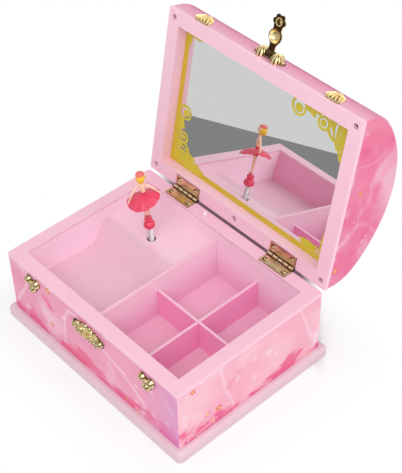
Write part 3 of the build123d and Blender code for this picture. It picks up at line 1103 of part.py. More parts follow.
def make_governor(gear_phase):
    pitch_share = (gear_phase * CYLINDER_TEETH / 360) % 1
    phase = 180 + 360 / GOVERNOR_TEETH * (0.5 - pitch_share)
    pinion = spur_outline(GOVERNOR_TEETH, GEAR_MODULE, TOOTH_ADDENDUM, TOOTH_DEDENDUM, TOOTH_T, phase)
    wheel = extrude(Pos(GOVERNOR_X, DANCER_Y, Z_GEAR_LOW) * pinion, GEAR_FACE)
    tooth = WORM_PITCH / 2 - WORM_BACKLASH
    outline = spur_outline(WORM_WHEEL_TEETH, WORM_MODULE, WORM_ADDENDUM, WORM_DEDENDUM, tooth,
                           180 / WORM_WHEEL_TEETH)
    wheel += extrude(Pos(GOVERNOR_X, DANCER_Y, Z_WORM - WORM_WHEEL_T / 2) * outline, WORM_WHEEL_T)
    wheel += rod_z(GOVERNOR_X, DANCER_Y, PLINTH_FLOOR + SIDE_CLEAR, Z_BRIDGE + BRIDGE_T, GOVERNOR_ARBOR_R)
    wheel += rod_z(GOVERNOR_X, DANCER_Y, Z_BED + RUN_CLEAR, Z_WORM, 2 * GOVERNOR_ARBOR_R)
    parts["governor_wheel"] = wheel
    back = Y_GOVERNOR_BACK + GOVERNOR_BRACKET_T
    front = Y_GOVERNOR_FRONT - GOVERNOR_BRACKET_T
    shaft = rod_y(WORM_X, Z_WORM, front, back, WORM_SHAFT_R)
    root = WORM_R - WORM_DEDENDUM
    length = WORM_PITCH * WORM_TURNS
    half_core = (length + WORM_PITCH) / 2 + WORM_SHOULDER
    core = rod_y(WORM_X, Z_WORM, DANCER_Y - half_core, DANCER_Y + half_core, root)
    tip = WORM_R + WORM_ADDENDUM
    flank = [(root - WORM_THREAD_SINK, WORM_ROOT_HALF), (WORM_R, tooth / 2), (tip, WORM_TIP_HALF)]
    points = [(r, -half) for r, half in flank] + [(r, half) for r, half in reversed(flank)]
    profile = Plane.XZ * Polygon(*points, align=None)
    thread = sweep(profile, Helix(WORM_PITCH, length, WORM_R), is_frenet=True)
    thread_y = DANCER_Y - WORM_PITCH * (WORM_TURNS // 2 + 0.5)
    thread = Pos(WORM_X, thread_y, Z_WORM) * Rot(X=-90) * thread
    parts["worm_shaft"] = shaft + core + thread
    hub = rod_y(WORM_X, Z_WORM, FLY_Y, FLY_Y + FLY_LENGTH, FLY_HUB_R)
    blade = block(WORM_X - FLY_WIDTH / 2, WORM_X + FLY_WIDTH / 2, FLY_Y, FLY_Y + FLY_LENGTH,
                  Z_WORM - FLY_T / 2, Z_WORM + FLY_T / 2)
    fly = hub + blade - rod_y(WORM_X, Z_WORM, FLY_Y - OVER, FLY_Y + FLY_LENGTH + OVER, WORM_SHAFT_R)
    parts["fly"] = fly
    half = GOVERNOR_BRACKET_WIDTH / 2
    top = Z_WORM + GOVERNOR_BRACKET_ABOVE
    bracket = block(WORM_X - half, WORM_X + half, front, back, Z_BED, Z_BED + GOVERNOR_BRACKET_T)
    for y in (front, Y_GOVERNOR_BACK):
        bracket += block(WORM_X - half, WORM_X + half, y, y + GOVERNOR_BRACKET_T, Z_BED, top)
    bracket -= rod_y(WORM_X, Z_WORM, front - OVER, back + OVER, WORM_SHAFT_R + RUN_CLEAR)
    parts["governor_bracket"] = bracket
    pillar_y = DANCER_Y - PILLAR_FRONT
    ends = (DANCER_X - CYLINDER_GEAR_R, GOVERNOR_X)
    bar = BRIDGE_WIDTH / 2
    z1 = Z_BRIDGE + BRIDGE_T
    bridge = block(ends[0] - bar, ends[1] + bar, pillar_y - bar, pillar_y + bar, Z_BRIDGE, z1)
    for x in (DANCER_X, GOVERNOR_X):
        bridge += block(x - bar, x + bar, pillar_y, DANCER_Y + bar, Z_BRIDGE, z1)
    bridge -= rod_z(DANCER_X, DANCER_Y, Z_BRIDGE - OVER, z1 + OVER, SPINDLE_R + RUN_CLEAR)
    bridge -= rod_z(GOVERNOR_X, DANCER_Y, Z_BRIDGE - OVER, z1 + OVER, GOVERNOR_ARBOR_R + RUN_CLEAR)
    parts["cylinder_bridge"] = bridge
    parts["bridge_pillars"] = group([rod_z(x, pillar_y, Z_BED, Z_BRIDGE, PILLAR_R) for x in ends])


def make_stop():
    z1 = Z_RIM + STOP_PIN_UP
    pin = rod_z(STOP_X, STOP_Y, Z_STOP_ARM + STOP_ARM_T, z1, STOP_PIN_R)
    pin = fillet(pin.edges().filter_by(GeomType.CIRCLE).sort_by(Axis.Z)[-1], STOP_PIN_EDGE_R)
    parts["stop_pin"] = pin
    arm = block(STOP_X - STOP_PIN_R, STOP_X + STOP_PIN_R, STOP_Y - STOP_ARM_REACH, STOP_Y + STOP_PIN_R,
                Z_STOP_ARM, Z_STOP_ARM + STOP_ARM_T)
    parts["stop_lever"] = arm


def main():
    make_plinth()
    make_shell()
    make_tray()
    make_dividers()
    make_hinges()
    make_lid_shell()
    make_lid_frame()
    make_box_trim()
    make_lid_trim()
    make_hasp()
    make_dancer()
    make_bedplate()
    make_bracket()
    make_barrel()
    make_winding()
    gear_phase = make_cylinder()
    make_comb()
    make_governor(gear_phase)
    make_stop()
    os.makedirs("parts", exist_ok=True)
    for name, shape in parts.items():
        export_step(shape, f"parts/{name}.step")


main()
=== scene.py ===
"""Dresses the wind-up music box: plastics, print, mirror, brass trim, dancer, movement and stage."""
import json
import math

import bpy
from bpy.props import FloatProperty, FloatVectorProperty, IntProperty, PointerProperty
from mathutils import Matrix, Vector


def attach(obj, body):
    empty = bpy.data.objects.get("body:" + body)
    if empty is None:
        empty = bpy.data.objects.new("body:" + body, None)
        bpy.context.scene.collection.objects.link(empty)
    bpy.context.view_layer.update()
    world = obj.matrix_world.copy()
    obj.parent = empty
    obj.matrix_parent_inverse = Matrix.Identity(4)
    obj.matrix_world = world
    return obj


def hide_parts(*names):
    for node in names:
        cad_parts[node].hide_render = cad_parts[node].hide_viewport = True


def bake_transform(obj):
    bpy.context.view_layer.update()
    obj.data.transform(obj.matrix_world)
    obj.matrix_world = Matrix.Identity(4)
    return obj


bl_info = {
    "name": "Wind-up music box",
    "version": (1, 0, 0),
    "blender": (4, 5, 0),
    "location": "View3D > Sidebar > Music box",
    "description": "Finishes a music box with a mirror lid, brass trim and a sprung dancer",
    "category": "Object",
}

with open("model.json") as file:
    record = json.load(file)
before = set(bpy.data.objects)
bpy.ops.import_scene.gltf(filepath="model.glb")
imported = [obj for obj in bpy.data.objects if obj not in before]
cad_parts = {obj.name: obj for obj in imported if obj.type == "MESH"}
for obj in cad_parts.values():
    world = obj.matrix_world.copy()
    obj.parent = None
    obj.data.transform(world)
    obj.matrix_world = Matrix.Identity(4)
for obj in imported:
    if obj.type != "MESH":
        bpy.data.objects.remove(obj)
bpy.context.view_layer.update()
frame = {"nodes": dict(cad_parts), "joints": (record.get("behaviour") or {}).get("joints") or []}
NODES = frame["nodes"]
JOINTS = {joint["name"]: joint for joint in frame["joints"]}
MM = 0.001


# Places, in millimetres, read from the frame


def joint_place(name):
    """Place of a joint in millimetres."""
    return Vector(JOINTS[name]["pos_m"]) / MM


LID_PIVOT = joint_place("lid_hinge")
LID_SWING = math.radians(JOINTS["lid_hinge"]["range_deg"][1])
OPENED = (Matrix.Translation(LID_PIVOT) @ Matrix.Rotation(-LID_SWING, 4, "X")
          @ Matrix.Translation(-LID_PIVOT))
CLOSED = OPENED.inverted()
STILL = Matrix.Identity(4)


def span(points):
    """Lowest and highest corner of a cloud of points."""
    low = Vector(min(point[i] for point in points) for i in range(3))
    high = Vector(max(point[i] for point in points) for i in range(3))
    return low, high


def node_box(node, view=STILL):
    """Lowest and highest corner of a CAD node in millimetres, seen through a matrix."""
    return span([view @ (vertex.co / MM) for vertex in NODES[node].data.vertices])


def solid_boxes(node, view=STILL):
    """Boxes of the separate solids in a CAD node, left to right."""
    mesh = NODES[node].data
    keys = [tuple(round(c / MM, 3) for c in vertex.co) for vertex in mesh.vertices]
    parent = {key: key for key in keys}

    def root(key):
        while parent[key] != key:
            parent[key] = parent[parent[key]]
            key = parent[key]
        return key

    for edge in mesh.edges:
        parent[root(keys[edge.vertices[0]])] = root(keys[edge.vertices[1]])
    solids = {}
    for key in parent:
        solids.setdefault(root(key), []).append(view @ Vector(key))
    boxes = [span(points) for points in solids.values()]
    return sorted(boxes, key=lambda pair: (round(pair[0].x, 2), pair[0].y))


SHELL_LOW, SHELL_HIGH = node_box("body_shell")
LID_LOW, LID_HIGH = node_box("lid_frame", CLOSED)
MIRROR_LOW, MIRROR_HIGH = node_box("mirror", CLOSED)
FRONT_Y = SHELL_LOW.y
LID_FRONT_Y = LID_LOW.y
SPIN_AT = joint_place("dancer_spin")
DANCER_LEAN = 6.7
DANCER_TOWARD = 196.5
DANCER_TURN = 47.0
BEND_RISE = 4.0
SKIRT_TILT = 12.0
HASP_LIFT = 10.0


def turned(degrees, axis):
    """Turn about an axis through the origin."""
    return Matrix.Rotation(math.radians(degrees), 4, axis)


def leaned(degrees):
    """Lean to the side that the dancer's spring bends to."""
    return turned(DANCER_TOWARD, "Z") @ turned(degrees, "Y") @ turned(-DANCER_TOWARD, "Z")


ON_DANCER = (Matrix.Translation(SPIN_AT) @ leaned(DANCER_LEAN) @ turned(DANCER_TURN, "Z")
             @ Matrix.Translation((0, 0, -BEND_RISE)))


def linear(red, green, blue):
    """Scene-linear colour of an 8-bit display colour."""
    channels = []
    for value in (red, green, blue):
        share = value / 255
        channels.append(share / 12.92 if share <= 0.04045 else ((share + 0.055) / 1.055) ** 2.4)
    return (*channels, 1.0)


def colour_property(name, description, display):
    """Colour with a default in 8-bit display values."""
    return FloatVectorProperty(name=name, description=description, subtype="COLOR", size=4,
                               min=0, max=1, default=linear(*display))


class MusicBoxColours(bpy.types.PropertyGroup):
    plinth: colour_property("Plinth pink", "Plinth under the box", (226, 192, 206))
    rim: colour_property("Rim pink", "Rims of the box and the lid", (247, 200, 217))
    tray: colour_property("Tray pink", "Floors of the compartments on the right", (237, 183, 206))
    tray_rim: colour_property("Tray rim", "Flat rim round the tray", (244, 193, 211))
    # Painted light: the tray's upright walls are paler than its floors. Painted shade: the foot of the cells'
    # walls, and walls that face the back.
    lit_tray_wall: colour_property("Tray wall", "Upright walls of the tray", (255, 221, 237))
    wall_foot_shade: colour_property("Wall foot", "Foot of the walls in the cells", (242, 187, 213))
    front_wall_shade: colour_property("Front wall", "Inner side of the tray's front wall", (244, 172, 204))
    # Painted shade: the dividers' upright faces are a deeper rose than their top edge.
    divider: colour_property("Divider rose", "Faces of the two thin dividers", (255, 167, 211))
    pan: colour_property("Pan pink", "Stage on the left, under the dancer", (246, 206, 222))
    pan_low: colour_property("Low pan pink", "Slope and floor before the stage", (231, 189, 206))
    wall: colour_property("Wall pink", "Ground of the print on the front and back", (238, 148, 180))
    wall_deep: colour_property("Wall rose", "Deeper washes on the front and back", (230, 122, 168))
    side: colour_property("Side coral", "Ground of the print on the ends", (248, 192, 206))
    side_deep: colour_property("Side rose", "Deeper washes on the ends", (244, 164, 188))
    lid: colour_property("Lid pink", "Ground of the print on the lid", (238, 172, 196))
    lid_deep: colour_property("Lid rose", "Deeper washes of the lid print", (232, 104, 158))
    veil: colour_property("Veil", "Pale washes and sparks of the print", (252, 222, 236))
    blossom: colour_property("Blossom", "Large blossoms of the print", (233, 66, 128))
    bud: colour_property("Bud", "Small blossoms of the print", (232, 104, 78))
    pollen: colour_property("Pollen", "Hearts of the small blossoms", (250, 206, 104))
    violet: colour_property("Violet", "Tint at the front wall's right end", (205, 132, 200))
    gold_print: colour_property("Gold print", "Border printed on the mirror", (208, 178, 40))
    scroll_print: colour_property("Scroll print", "Corner scrolls printed on the mirror", (206, 190, 40))
    brass: colour_property("Brass", "Raised parts of the stamped trim", (249, 227, 172))
    # Painted shade with some patina: toned brass darkens to this colour in its hollows.
    shade_and_tarnish: colour_property("Tarnish", "Hollows of the stamped trim", (72, 46, 22))
    steel: colour_property("Steel", "Screws, spring and plated parts", (196, 196, 198))
    crimson: colour_property("Crimson", "Skirt, shoes and pedestal", (232, 62, 98))
    skin: colour_property("Skin", "Painted skin of the dancer", (252, 208, 182))
    hair: colour_property("Hair", "Painted hair", (248, 200, 52))
    cap: colour_property("Cap", "Cap on the hair", (236, 116, 112))


class MusicBoxSizes(bpy.types.PropertyGroup):
    border_width: FloatProperty(name="Border", description="Width of the gold border in millimetres",
                                default=4.2, min=1, max=8)
    scroll_reach: FloatProperty(name="Scroll reach",
                                description="Length of the longest corner scroll in millimetres",
                                default=48.0, min=10, max=60)
    skirt_pleats: IntProperty(name="Pleats", description="Folds round the skirt", default=11, min=4, max=30)
    skirt_wave: FloatProperty(name="Pleat depth", description="Depth of the folds in millimetres",
                              default=0.3, min=0, max=2)
    spring_wire: FloatProperty(name="Spring wire", description="Wire of the dancer's spring in millimetres",
                               default=0.6, min=0.2, max=1.0)


class MusicBoxStage(bpy.types.PropertyGroup):
    floor_half: FloatProperty(name="Floor", description="Half the floor's side", default=3.0, unit="LENGTH")
    floor_glow: FloatProperty(name="Floor white",
                              description="Share of plain white in the floor beside the box",
                              default=0.6, min=0, max=1, subtype="FACTOR")
    fill: FloatProperty(name="Fill", description="Soft light from all round", default=0.62, min=0)
    key_power: FloatProperty(name="Key lamp", description="Large lamp over the camera",
                             default=6.5, unit="POWER")
    side_power: FloatProperty(name="Side lamp", description="Lamp on the right", default=3.6, unit="POWER")
    near_card: FloatProperty(name="Near card", description="Grey of the table that the mirror shows",
                             default=0.25, min=0, max=1)
    far_card: FloatProperty(name="Far card", description="Grey of the wall that the mirror shows",
                            default=0.70, min=0, max=1)
    dark_card: FloatProperty(name="Dark card",
                             description="Grey of the card behind the camera that brass shows",
                             default=0.05, min=0, max=1)


# Mesh building


class Shape:
    """Vertices and faces in millimetres, with a finish for each face and a tone for each vertex."""

    def __init__(self):
        self.verts = []
        self.tones = []
        self.faces = []
        self.finishes = []

    def add(self, part, finish=0, place=STILL, tones=None):
        verts, faces = part
        start = len(self.verts)
        self.verts += [place @ Vector(vert) for vert in verts]
        self.tones += tones if tones else [1.0] * len(verts)
        self.faces += [[start + i for i in face] for face in faces]
        self.finishes += [finish] * len(faces)


def build(name, shape, finishes, body, nodes=(), place=STILL, crease=40):
    """Makes the object, lets it ride on its body and hides the CAD nodes it stands for."""
    mesh = bpy.data.meshes.new(name)
    mesh.from_pydata([(place @ vert) * MM for vert in shape.verts], [], shape.faces)
    for finish in finishes:
        mesh.materials.append(finish)
    mesh.polygons.foreach_set("material_index", shape.finishes)
    tone = mesh.attributes.new("tone", "FLOAT", "POINT")
    tone.data.foreach_set("value", shape.tones)
    mesh.validate()
    mesh.shade_smooth()
    mesh.set_sharp_from_angle(angle=math.radians(crease))
    piece = bpy.data.objects.new(name, mesh)
    bpy.context.scene.collection.objects.link(piece)
    if body:
        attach(piece, body)
    if nodes:
        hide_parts(*nodes)
    return piece


def loft(rings, start_cap=True, end_cap=True):
    """Skin over rings of equal counts, with flat caps."""
    count = len(rings[0])
    verts = [vert for ring in rings for vert in ring]
    faces = []
    for i in range(len(rings) - 1):
        for j in range(count):
            k = (j + 1) % count
            faces.append((i * count + j, i * count + k, (i + 1) * count + k, (i + 1) * count + j))
    if start_cap:
        faces.append(tuple(reversed(range(count))))
    if end_cap:
        faces.append(tuple(range(len(verts) - count, len(verts))))
    return verts, faces


def shares(steps):
    """Even shares from 0 to 1."""
    return [i / steps for i in range(steps + 1)]


def spoke_angles(spokes):
    """Even angles round a full circle."""
    return [2 * math.pi * j / spokes for j in range(spokes)]


def circle(centre, radius_x, radius_y, spokes, height):
    """Level ring of points, round or oval."""
    ring = []
    for a in spoke_angles(spokes):
        x = centre[0] + radius_x * math.cos(a)
        y = centre[1] + radius_y * math.sin(a)
        ring.append(Vector((x, y, height)))
    return ring


def lathe(profile, spokes=48):
    """Turned form; profile holds radius and height from the bottom up."""
    return loft([circle((0, 0), r, r, spokes, z) for r, z in profile])


def tube(points, radii, sides=12):
    """Round bar along points, with a radius at each."""
    points = [Vector(point) for point in points]
    side = None
    rings = []
    for i, point in enumerate(points):
        along = (points[min(i + 1, len(points) - 1)] - points[max(i - 1, 0)]).normalized()
        if side is None:
            side = along.orthogonal().normalized()
        side = (side - along * side.dot(along)).normalized()
        other = along.cross(side)
        ring = []
        for a in spoke_angles(sides):
            ring.append(point + (side * math.cos(a) + other * math.sin(a)) * radii[i])
        rings.append(ring)
    return loft(rings)


def smooth_path(points, steps):
    """Points along a smooth curve through the given ones (Catmull-Rom)."""
    points = [Vector(point) for point in points]
    padded = [points[0] * 2 - points[1]] + points + [points[-1] * 2 - points[-2]]
    path = []
    for i in range(1, len(padded) - 2):
        a, b, c, d = padded[i - 1:i + 3]
        for t in shares(steps)[:-1]:
            path.append(0.5 * (2 * b + (c - a) * t + (2 * a - 5 * b + 4 * c - d) * t * t
                               + (3 * b - a - 3 * c + d) * t ** 3))
    path.append(points[-1])
    return path


def shares_of(path):
    """Shares from 0 to 1 along the points of a path."""
    return shares(len(path) - 1)


def egg(centre, radii, rows=24, spokes=32, warp=None):
    """Rounded body about a centre; warp moves a point of the unit ball."""
    rings = []
    for share in shares(rows)[1:-1]:
        a = math.pi * share - math.pi / 2
        ring = []
        for b in spoke_angles(spokes):
            unit = Vector((math.cos(a) * math.cos(b), math.cos(a) * math.sin(b), math.sin(a)))
            if warp:
                unit = warp(unit)
            ring.append(Vector((centre[k] + radii[k] * unit[k] for k in range(3))))
        rings.append(ring)
    return loft(rings)


def ease(value, low, high):
    """0 below low, 1 above high, smooth between."""
    t = min(max((value - low) / (high - low), 0), 1)
    return t * t * (3 - 2 * t)


def bell(value, middle, width):
    """1 at the middle, falling away on both sides."""
    return math.exp(-((value - middle) / width) ** 2)


def lobes_outline(circles):
    """Distance from the middle to the edge of a union of circles, for a direction."""

    def reach(angle):
        best = 0.0
        for x, y, r in circles:
            along = x * math.cos(angle) + y * math.sin(angle)
            off = x * math.sin(angle) - y * math.cos(angle)
            if abs(off) < r:
                best = max(best, along + math.sqrt(r * r - off * off))
        return best

    return reach


def box_outline(half_x, half_y, corner):
    """Distance to the edge of a soft-cornered rectangle, for a direction."""

    def reach(angle):
        x = abs(math.cos(angle) / half_x)
        y = abs(math.sin(angle) / half_y)
        return (x ** corner + y ** corner) ** (-1 / corner)

    return reach


def stamped(reach, height, rings=26, spokes=144, edge=0.5, back=None):
    """Stamped plate in u, v and h; height gives h and tone at a place, back gives the rear face."""
    front = []
    rear = []
    front_tones = []
    rear_tones = []
    for share in shares(rings):
        for a in spoke_angles(spokes):
            outer = reach(a)
            r = outer * max(share, 0.001)
            u = r * math.cos(a)
            v = r * math.sin(a)
            h, tone = height(u, v, outer - r)
            inward = max(min(outer - r, edge), 0.0)
            drop = edge - math.sqrt(edge * edge - (edge - inward) ** 2)
            front.append(Vector((u, v, h - drop)))
            front_tones.append(tone)
            # Without a given back, the rear face takes a dark tone: painted shade on its hidden side.
            h, tone = back(u, v, outer - r) if back else (0.0, 0.3)
            rear.append(Vector((u, v, h)))
            rear_tones.append(tone)
    rows = [slice(i * spokes, (i + 1) * spokes) for i in range(rings + 1)]
    verts, faces = loft([front[row] for row in rows], True, False)
    rear_verts, rear_faces = loft([rear[row] for row in rows], True, False)
    start = len(verts)
    faces += [tuple(start + i for i in reversed(face)) for face in rear_faces]
    rim = rings * spokes
    for j in range(spokes):
        k = (j + 1) % spokes
        faces.append((rim + k, start + rim + k, start + rim + j, rim + j))
    return (verts + rear_verts, faces), front_tones + rear_tones


# Node building


def node(tree, kind, inputs=None, **settings):
    """Adds a node; inputs holds values or sockets by name or number."""
    made = tree.nodes.new(kind)
    for key, value in settings.items():
        setattr(made, key, value)
    for key, value in (inputs or {}).items():
        if isinstance(value, bpy.types.NodeSocket):
            tree.links.new(value, made.inputs[key])
        else:
            made.inputs[key].default_value = value
    return made


def calc(tree, operation, first, second=0.0, third=0.0):
    made = node(tree, "ShaderNodeMath", {0: first, 1: second, 2: third}, operation=operation)
    return made.outputs[0]


def step(tree, value, low, high, start=0.0, end=1.0):
    """Smooth step from start to end while value goes from low to high."""
    made = node(tree, "ShaderNodeMapRange", {0: value, 1: low, 2: high, 3: start, 4: end},
                interpolation_type="SMOOTHSTEP")
    return made.outputs[0]


def blend_colour(tree, share, first, second):
    made = node(tree, "ShaderNodeMix", {0: share, 6: first, 7: second}, data_type="RGBA")
    return made.outputs[2]


def blend_value(tree, share, first, second):
    return node(tree, "ShaderNodeMix", {0: share, 2: first, 3: second}).outputs[0]


def split_xyz(tree, vector):
    return node(tree, "ShaderNodeSeparateXYZ", {0: vector}).outputs


def join_xy(tree, x, y):
    return node(tree, "ShaderNodeCombineXYZ", {0: x, 1: y}).outputs[0]


def noise(tree, vector, scale, detail=2.0, distortion=0.0):
    made = node(tree, "ShaderNodeTexNoise", {"Vector": vector, "Scale": scale, "Detail": detail,
                                             "Distortion": distortion})
    return made.outputs["Fac"]


def new_group(name, inputs, outputs):
    """Shader node group with its input and output sockets."""
    group = bpy.data.node_groups.new(name, "ShaderNodeTree")
    for label, kind, default in inputs:
        socket = group.interface.new_socket(name=label, in_out="INPUT", socket_type="NodeSocket" + kind)
        if default is not None:
            socket.default_value = default
    for label, kind in outputs:
        group.interface.new_socket(name=label, in_out="OUTPUT", socket_type="NodeSocket" + kind)
    start = group.nodes.new("NodeGroupInput").outputs
    end = group.nodes.new("NodeGroupOutput").inputs
    return group, start, end


def use_group(tree, name, inputs):
    return node(tree, "ShaderNodeGroup", inputs, node_tree=bpy.data.node_groups[name]).outputs


def new_finish(name, **plain):
    """Empty material with a Principled shader; plain holds its uniform values."""
    material = bpy.data.materials.new(name)
    material.use_nodes = True
    tree = material.node_tree
    shader = tree.nodes["Principled BSDF"]
    for key, value in plain.items():
        shader.inputs[key.replace("_", " ").title().replace("Ior", "IOR")].default_value = value
    return material, tree, shader


def empty_tree(block):
    """Cleared node tree of a new material or world."""
    block.use_nodes = True
    block.node_tree.nodes.clear()
    return block.node_tree


def bump(tree, shader, height, strength, distance):
    made = node(tree, "ShaderNodeBump", {"Height": height, "Strength": strength, "Distance": distance})
    tree.links.new(made.outputs["Normal"], shader.inputs["Normal"])


def cover(tree, shader, skin, strength, distance, height=None):
    """Lays a group's colour, roughness and relief on a shader."""
    tree.links.new(skin["Color"], shader.inputs["Base Color"])
    tree.links.new(skin["Roughness"], shader.inputs["Roughness"])
    bump(tree, shader, skin["Height"] if height is None else height, strength, distance)


def make_moulded_skin():
    """Uneven colour, gloss and fine grain of moulded plastic or paint."""
    group, start, end = new_group("moulded_skin", [
        ("Color", "Color", None), ("Mottle", "Float", 0.04), ("Roughness", "Float", 0.35),
        ("Grain", "Float", 1800.0)], [("Color", "Color"), ("Roughness", "Float"), ("Height", "Float")])
    where = group.nodes.new("ShaderNodeTexCoord").outputs["Object"]
    broad = noise(group, where, 34.0, 3.0)
    fine = noise(group, where, start["Grain"], 2.0)
    value = calc(group, "MULTIPLY_ADD", calc(group, "SUBTRACT", broad, 0.5), start["Mottle"], 1.0)
    tinted = node(group, "ShaderNodeHueSaturation", {"Color": start["Color"], "Value": value})
    group.links.new(tinted.outputs[0], end["Color"])
    smear = noise(group, where, 130.0, 4.0, 0.6)
    rough = calc(group, "MULTIPLY_ADD", calc(group, "SUBTRACT", smear, 0.5), 0.16, start["Roughness"])
    group.links.new(rough, end["Roughness"])
    group.links.new(fine, end["Height"])


def make_shaded_rubbed_metal():
    """Metal that is bright where it stands proud, dark in its hollows as painted shade with some patina, and
    finely scratched.
    """
    group, start, end = new_group("shaded_rubbed_metal", [
        ("Color", "Color", None), ("Hollow", "Color", None), ("Tone", "Float", 1.0),
        ("Roughness", "Float", 0.2), ("Scratch", "Float", 1.0)],
        [("Color", "Color"), ("Roughness", "Float"), ("Height", "Float")])
    where = group.nodes.new("ShaderNodeTexCoord").outputs["Object"]
    stretched = node(group, "ShaderNodeMapping", {"Vector": where, "Scale": (1.0, 7.0, 3.0)})
    lines = noise(group, stretched.outputs[0], 420.0, 5.0, 0.4)
    cloud = noise(group, where, 260.0, 3.0)
    dull = calc(group, "MULTIPLY", step(group, cloud, 0.45, 0.8), 0.14)
    raised = calc(group, "SUBTRACT", start["Tone"], dull)
    # Painted shade with some patina: the hollow colour takes over where the tone is low.
    group.links.new(blend_colour(group, step(group, raised, 0.05, 0.95), start["Hollow"], start["Color"]),
                    end["Color"])
    depth = calc(group, "MULTIPLY", start["Scratch"], 0.18)
    worn = calc(group, "MULTIPLY", calc(group, "SUBTRACT", lines, 0.5), depth)
    duller = calc(group, "MULTIPLY_ADD", calc(group, "SUBTRACT", 1.0, raised), 0.25, start["Roughness"])
    group.links.new(calc(group, "ADD", duller, worn), end["Roughness"])
    group.links.new(lines, end["Height"])


# Radians in a full turn, and heights over every print, so that a scatter has no top edge
FULL_TURN = 6.283
NO_TOP = {"Low": 3.0, "High": 4.0}


def make_blossom_scatter():
    """Petal and heart masks of simple blossoms scattered over a flat plan, fewer towards the top."""
    group, start, end = new_group("blossom_scatter", [
        ("Plan", "Vector", None), ("Scale", "Float", 40.0), ("Size", "Float", 0.007),
        ("Petals", "Float", 5.0), ("Keep", "Float", 0.5), ("Low", "Float", 0.0), ("High", "Float", 0.05)],
        [("Petal", "Float"), ("Heart", "Float"), ("Shade", "Float")])
    cells = node(group, "ShaderNodeTexVoronoi", {"Vector": start["Plan"], "Scale": start["Scale"],
                                                 "Randomness": 0.75}, voronoi_dimensions="2D")
    offset = node(group, "ShaderNodeVectorMath", {0: start["Plan"], 1: cells.outputs["Position"]},
                  operation="SUBTRACT").outputs[0]
    parts = split_xyz(group, offset)
    spot = split_xyz(group, cells.outputs["Position"])
    dice = node(group, "ShaderNodeSeparateColor", {0: cells.outputs["Color"]}).outputs
    far = node(group, "ShaderNodeVectorMath", {0: offset}, operation="LENGTH").outputs["Value"]
    angle = calc(group, "MULTIPLY_ADD", dice[1], FULL_TURN, calc(group, "ARCTAN2", parts[1], parts[0]))
    turns = calc(group, "MULTIPLY", angle, calc(group, "MULTIPLY", start["Petals"], 0.5))
    lobe = calc(group, "ABSOLUTE", calc(group, "COSINE", turns))
    lobe = calc(group, "MULTIPLY_ADD", calc(group, "POWER", lobe, 0.7), 0.68, 0.32)
    size = calc(group, "MULTIPLY", start["Size"], calc(group, "MULTIPLY_ADD", dice[2], 0.5, 0.75))
    edge = calc(group, "MULTIPLY", lobe, size)
    band = step(group, spot[1], start["Low"], start["High"], 1.0, 0.0)
    there = calc(group, "LESS_THAN", dice[0], calc(group, "MULTIPLY", start["Keep"], band))
    petal = step(group, calc(group, "DIVIDE", far, edge), 0.8, 1.0, 1.0, 0.0)
    heart = step(group, calc(group, "DIVIDE", far, size), 0.2, 0.3, 1.0, 0.0)
    group.links.new(calc(group, "MULTIPLY", petal, there), end["Petal"])
    group.links.new(calc(group, "MULTIPLY", heart, there), end["Heart"])
    group.links.new(calc(group, "DIVIDE", far, edge), end["Shade"])


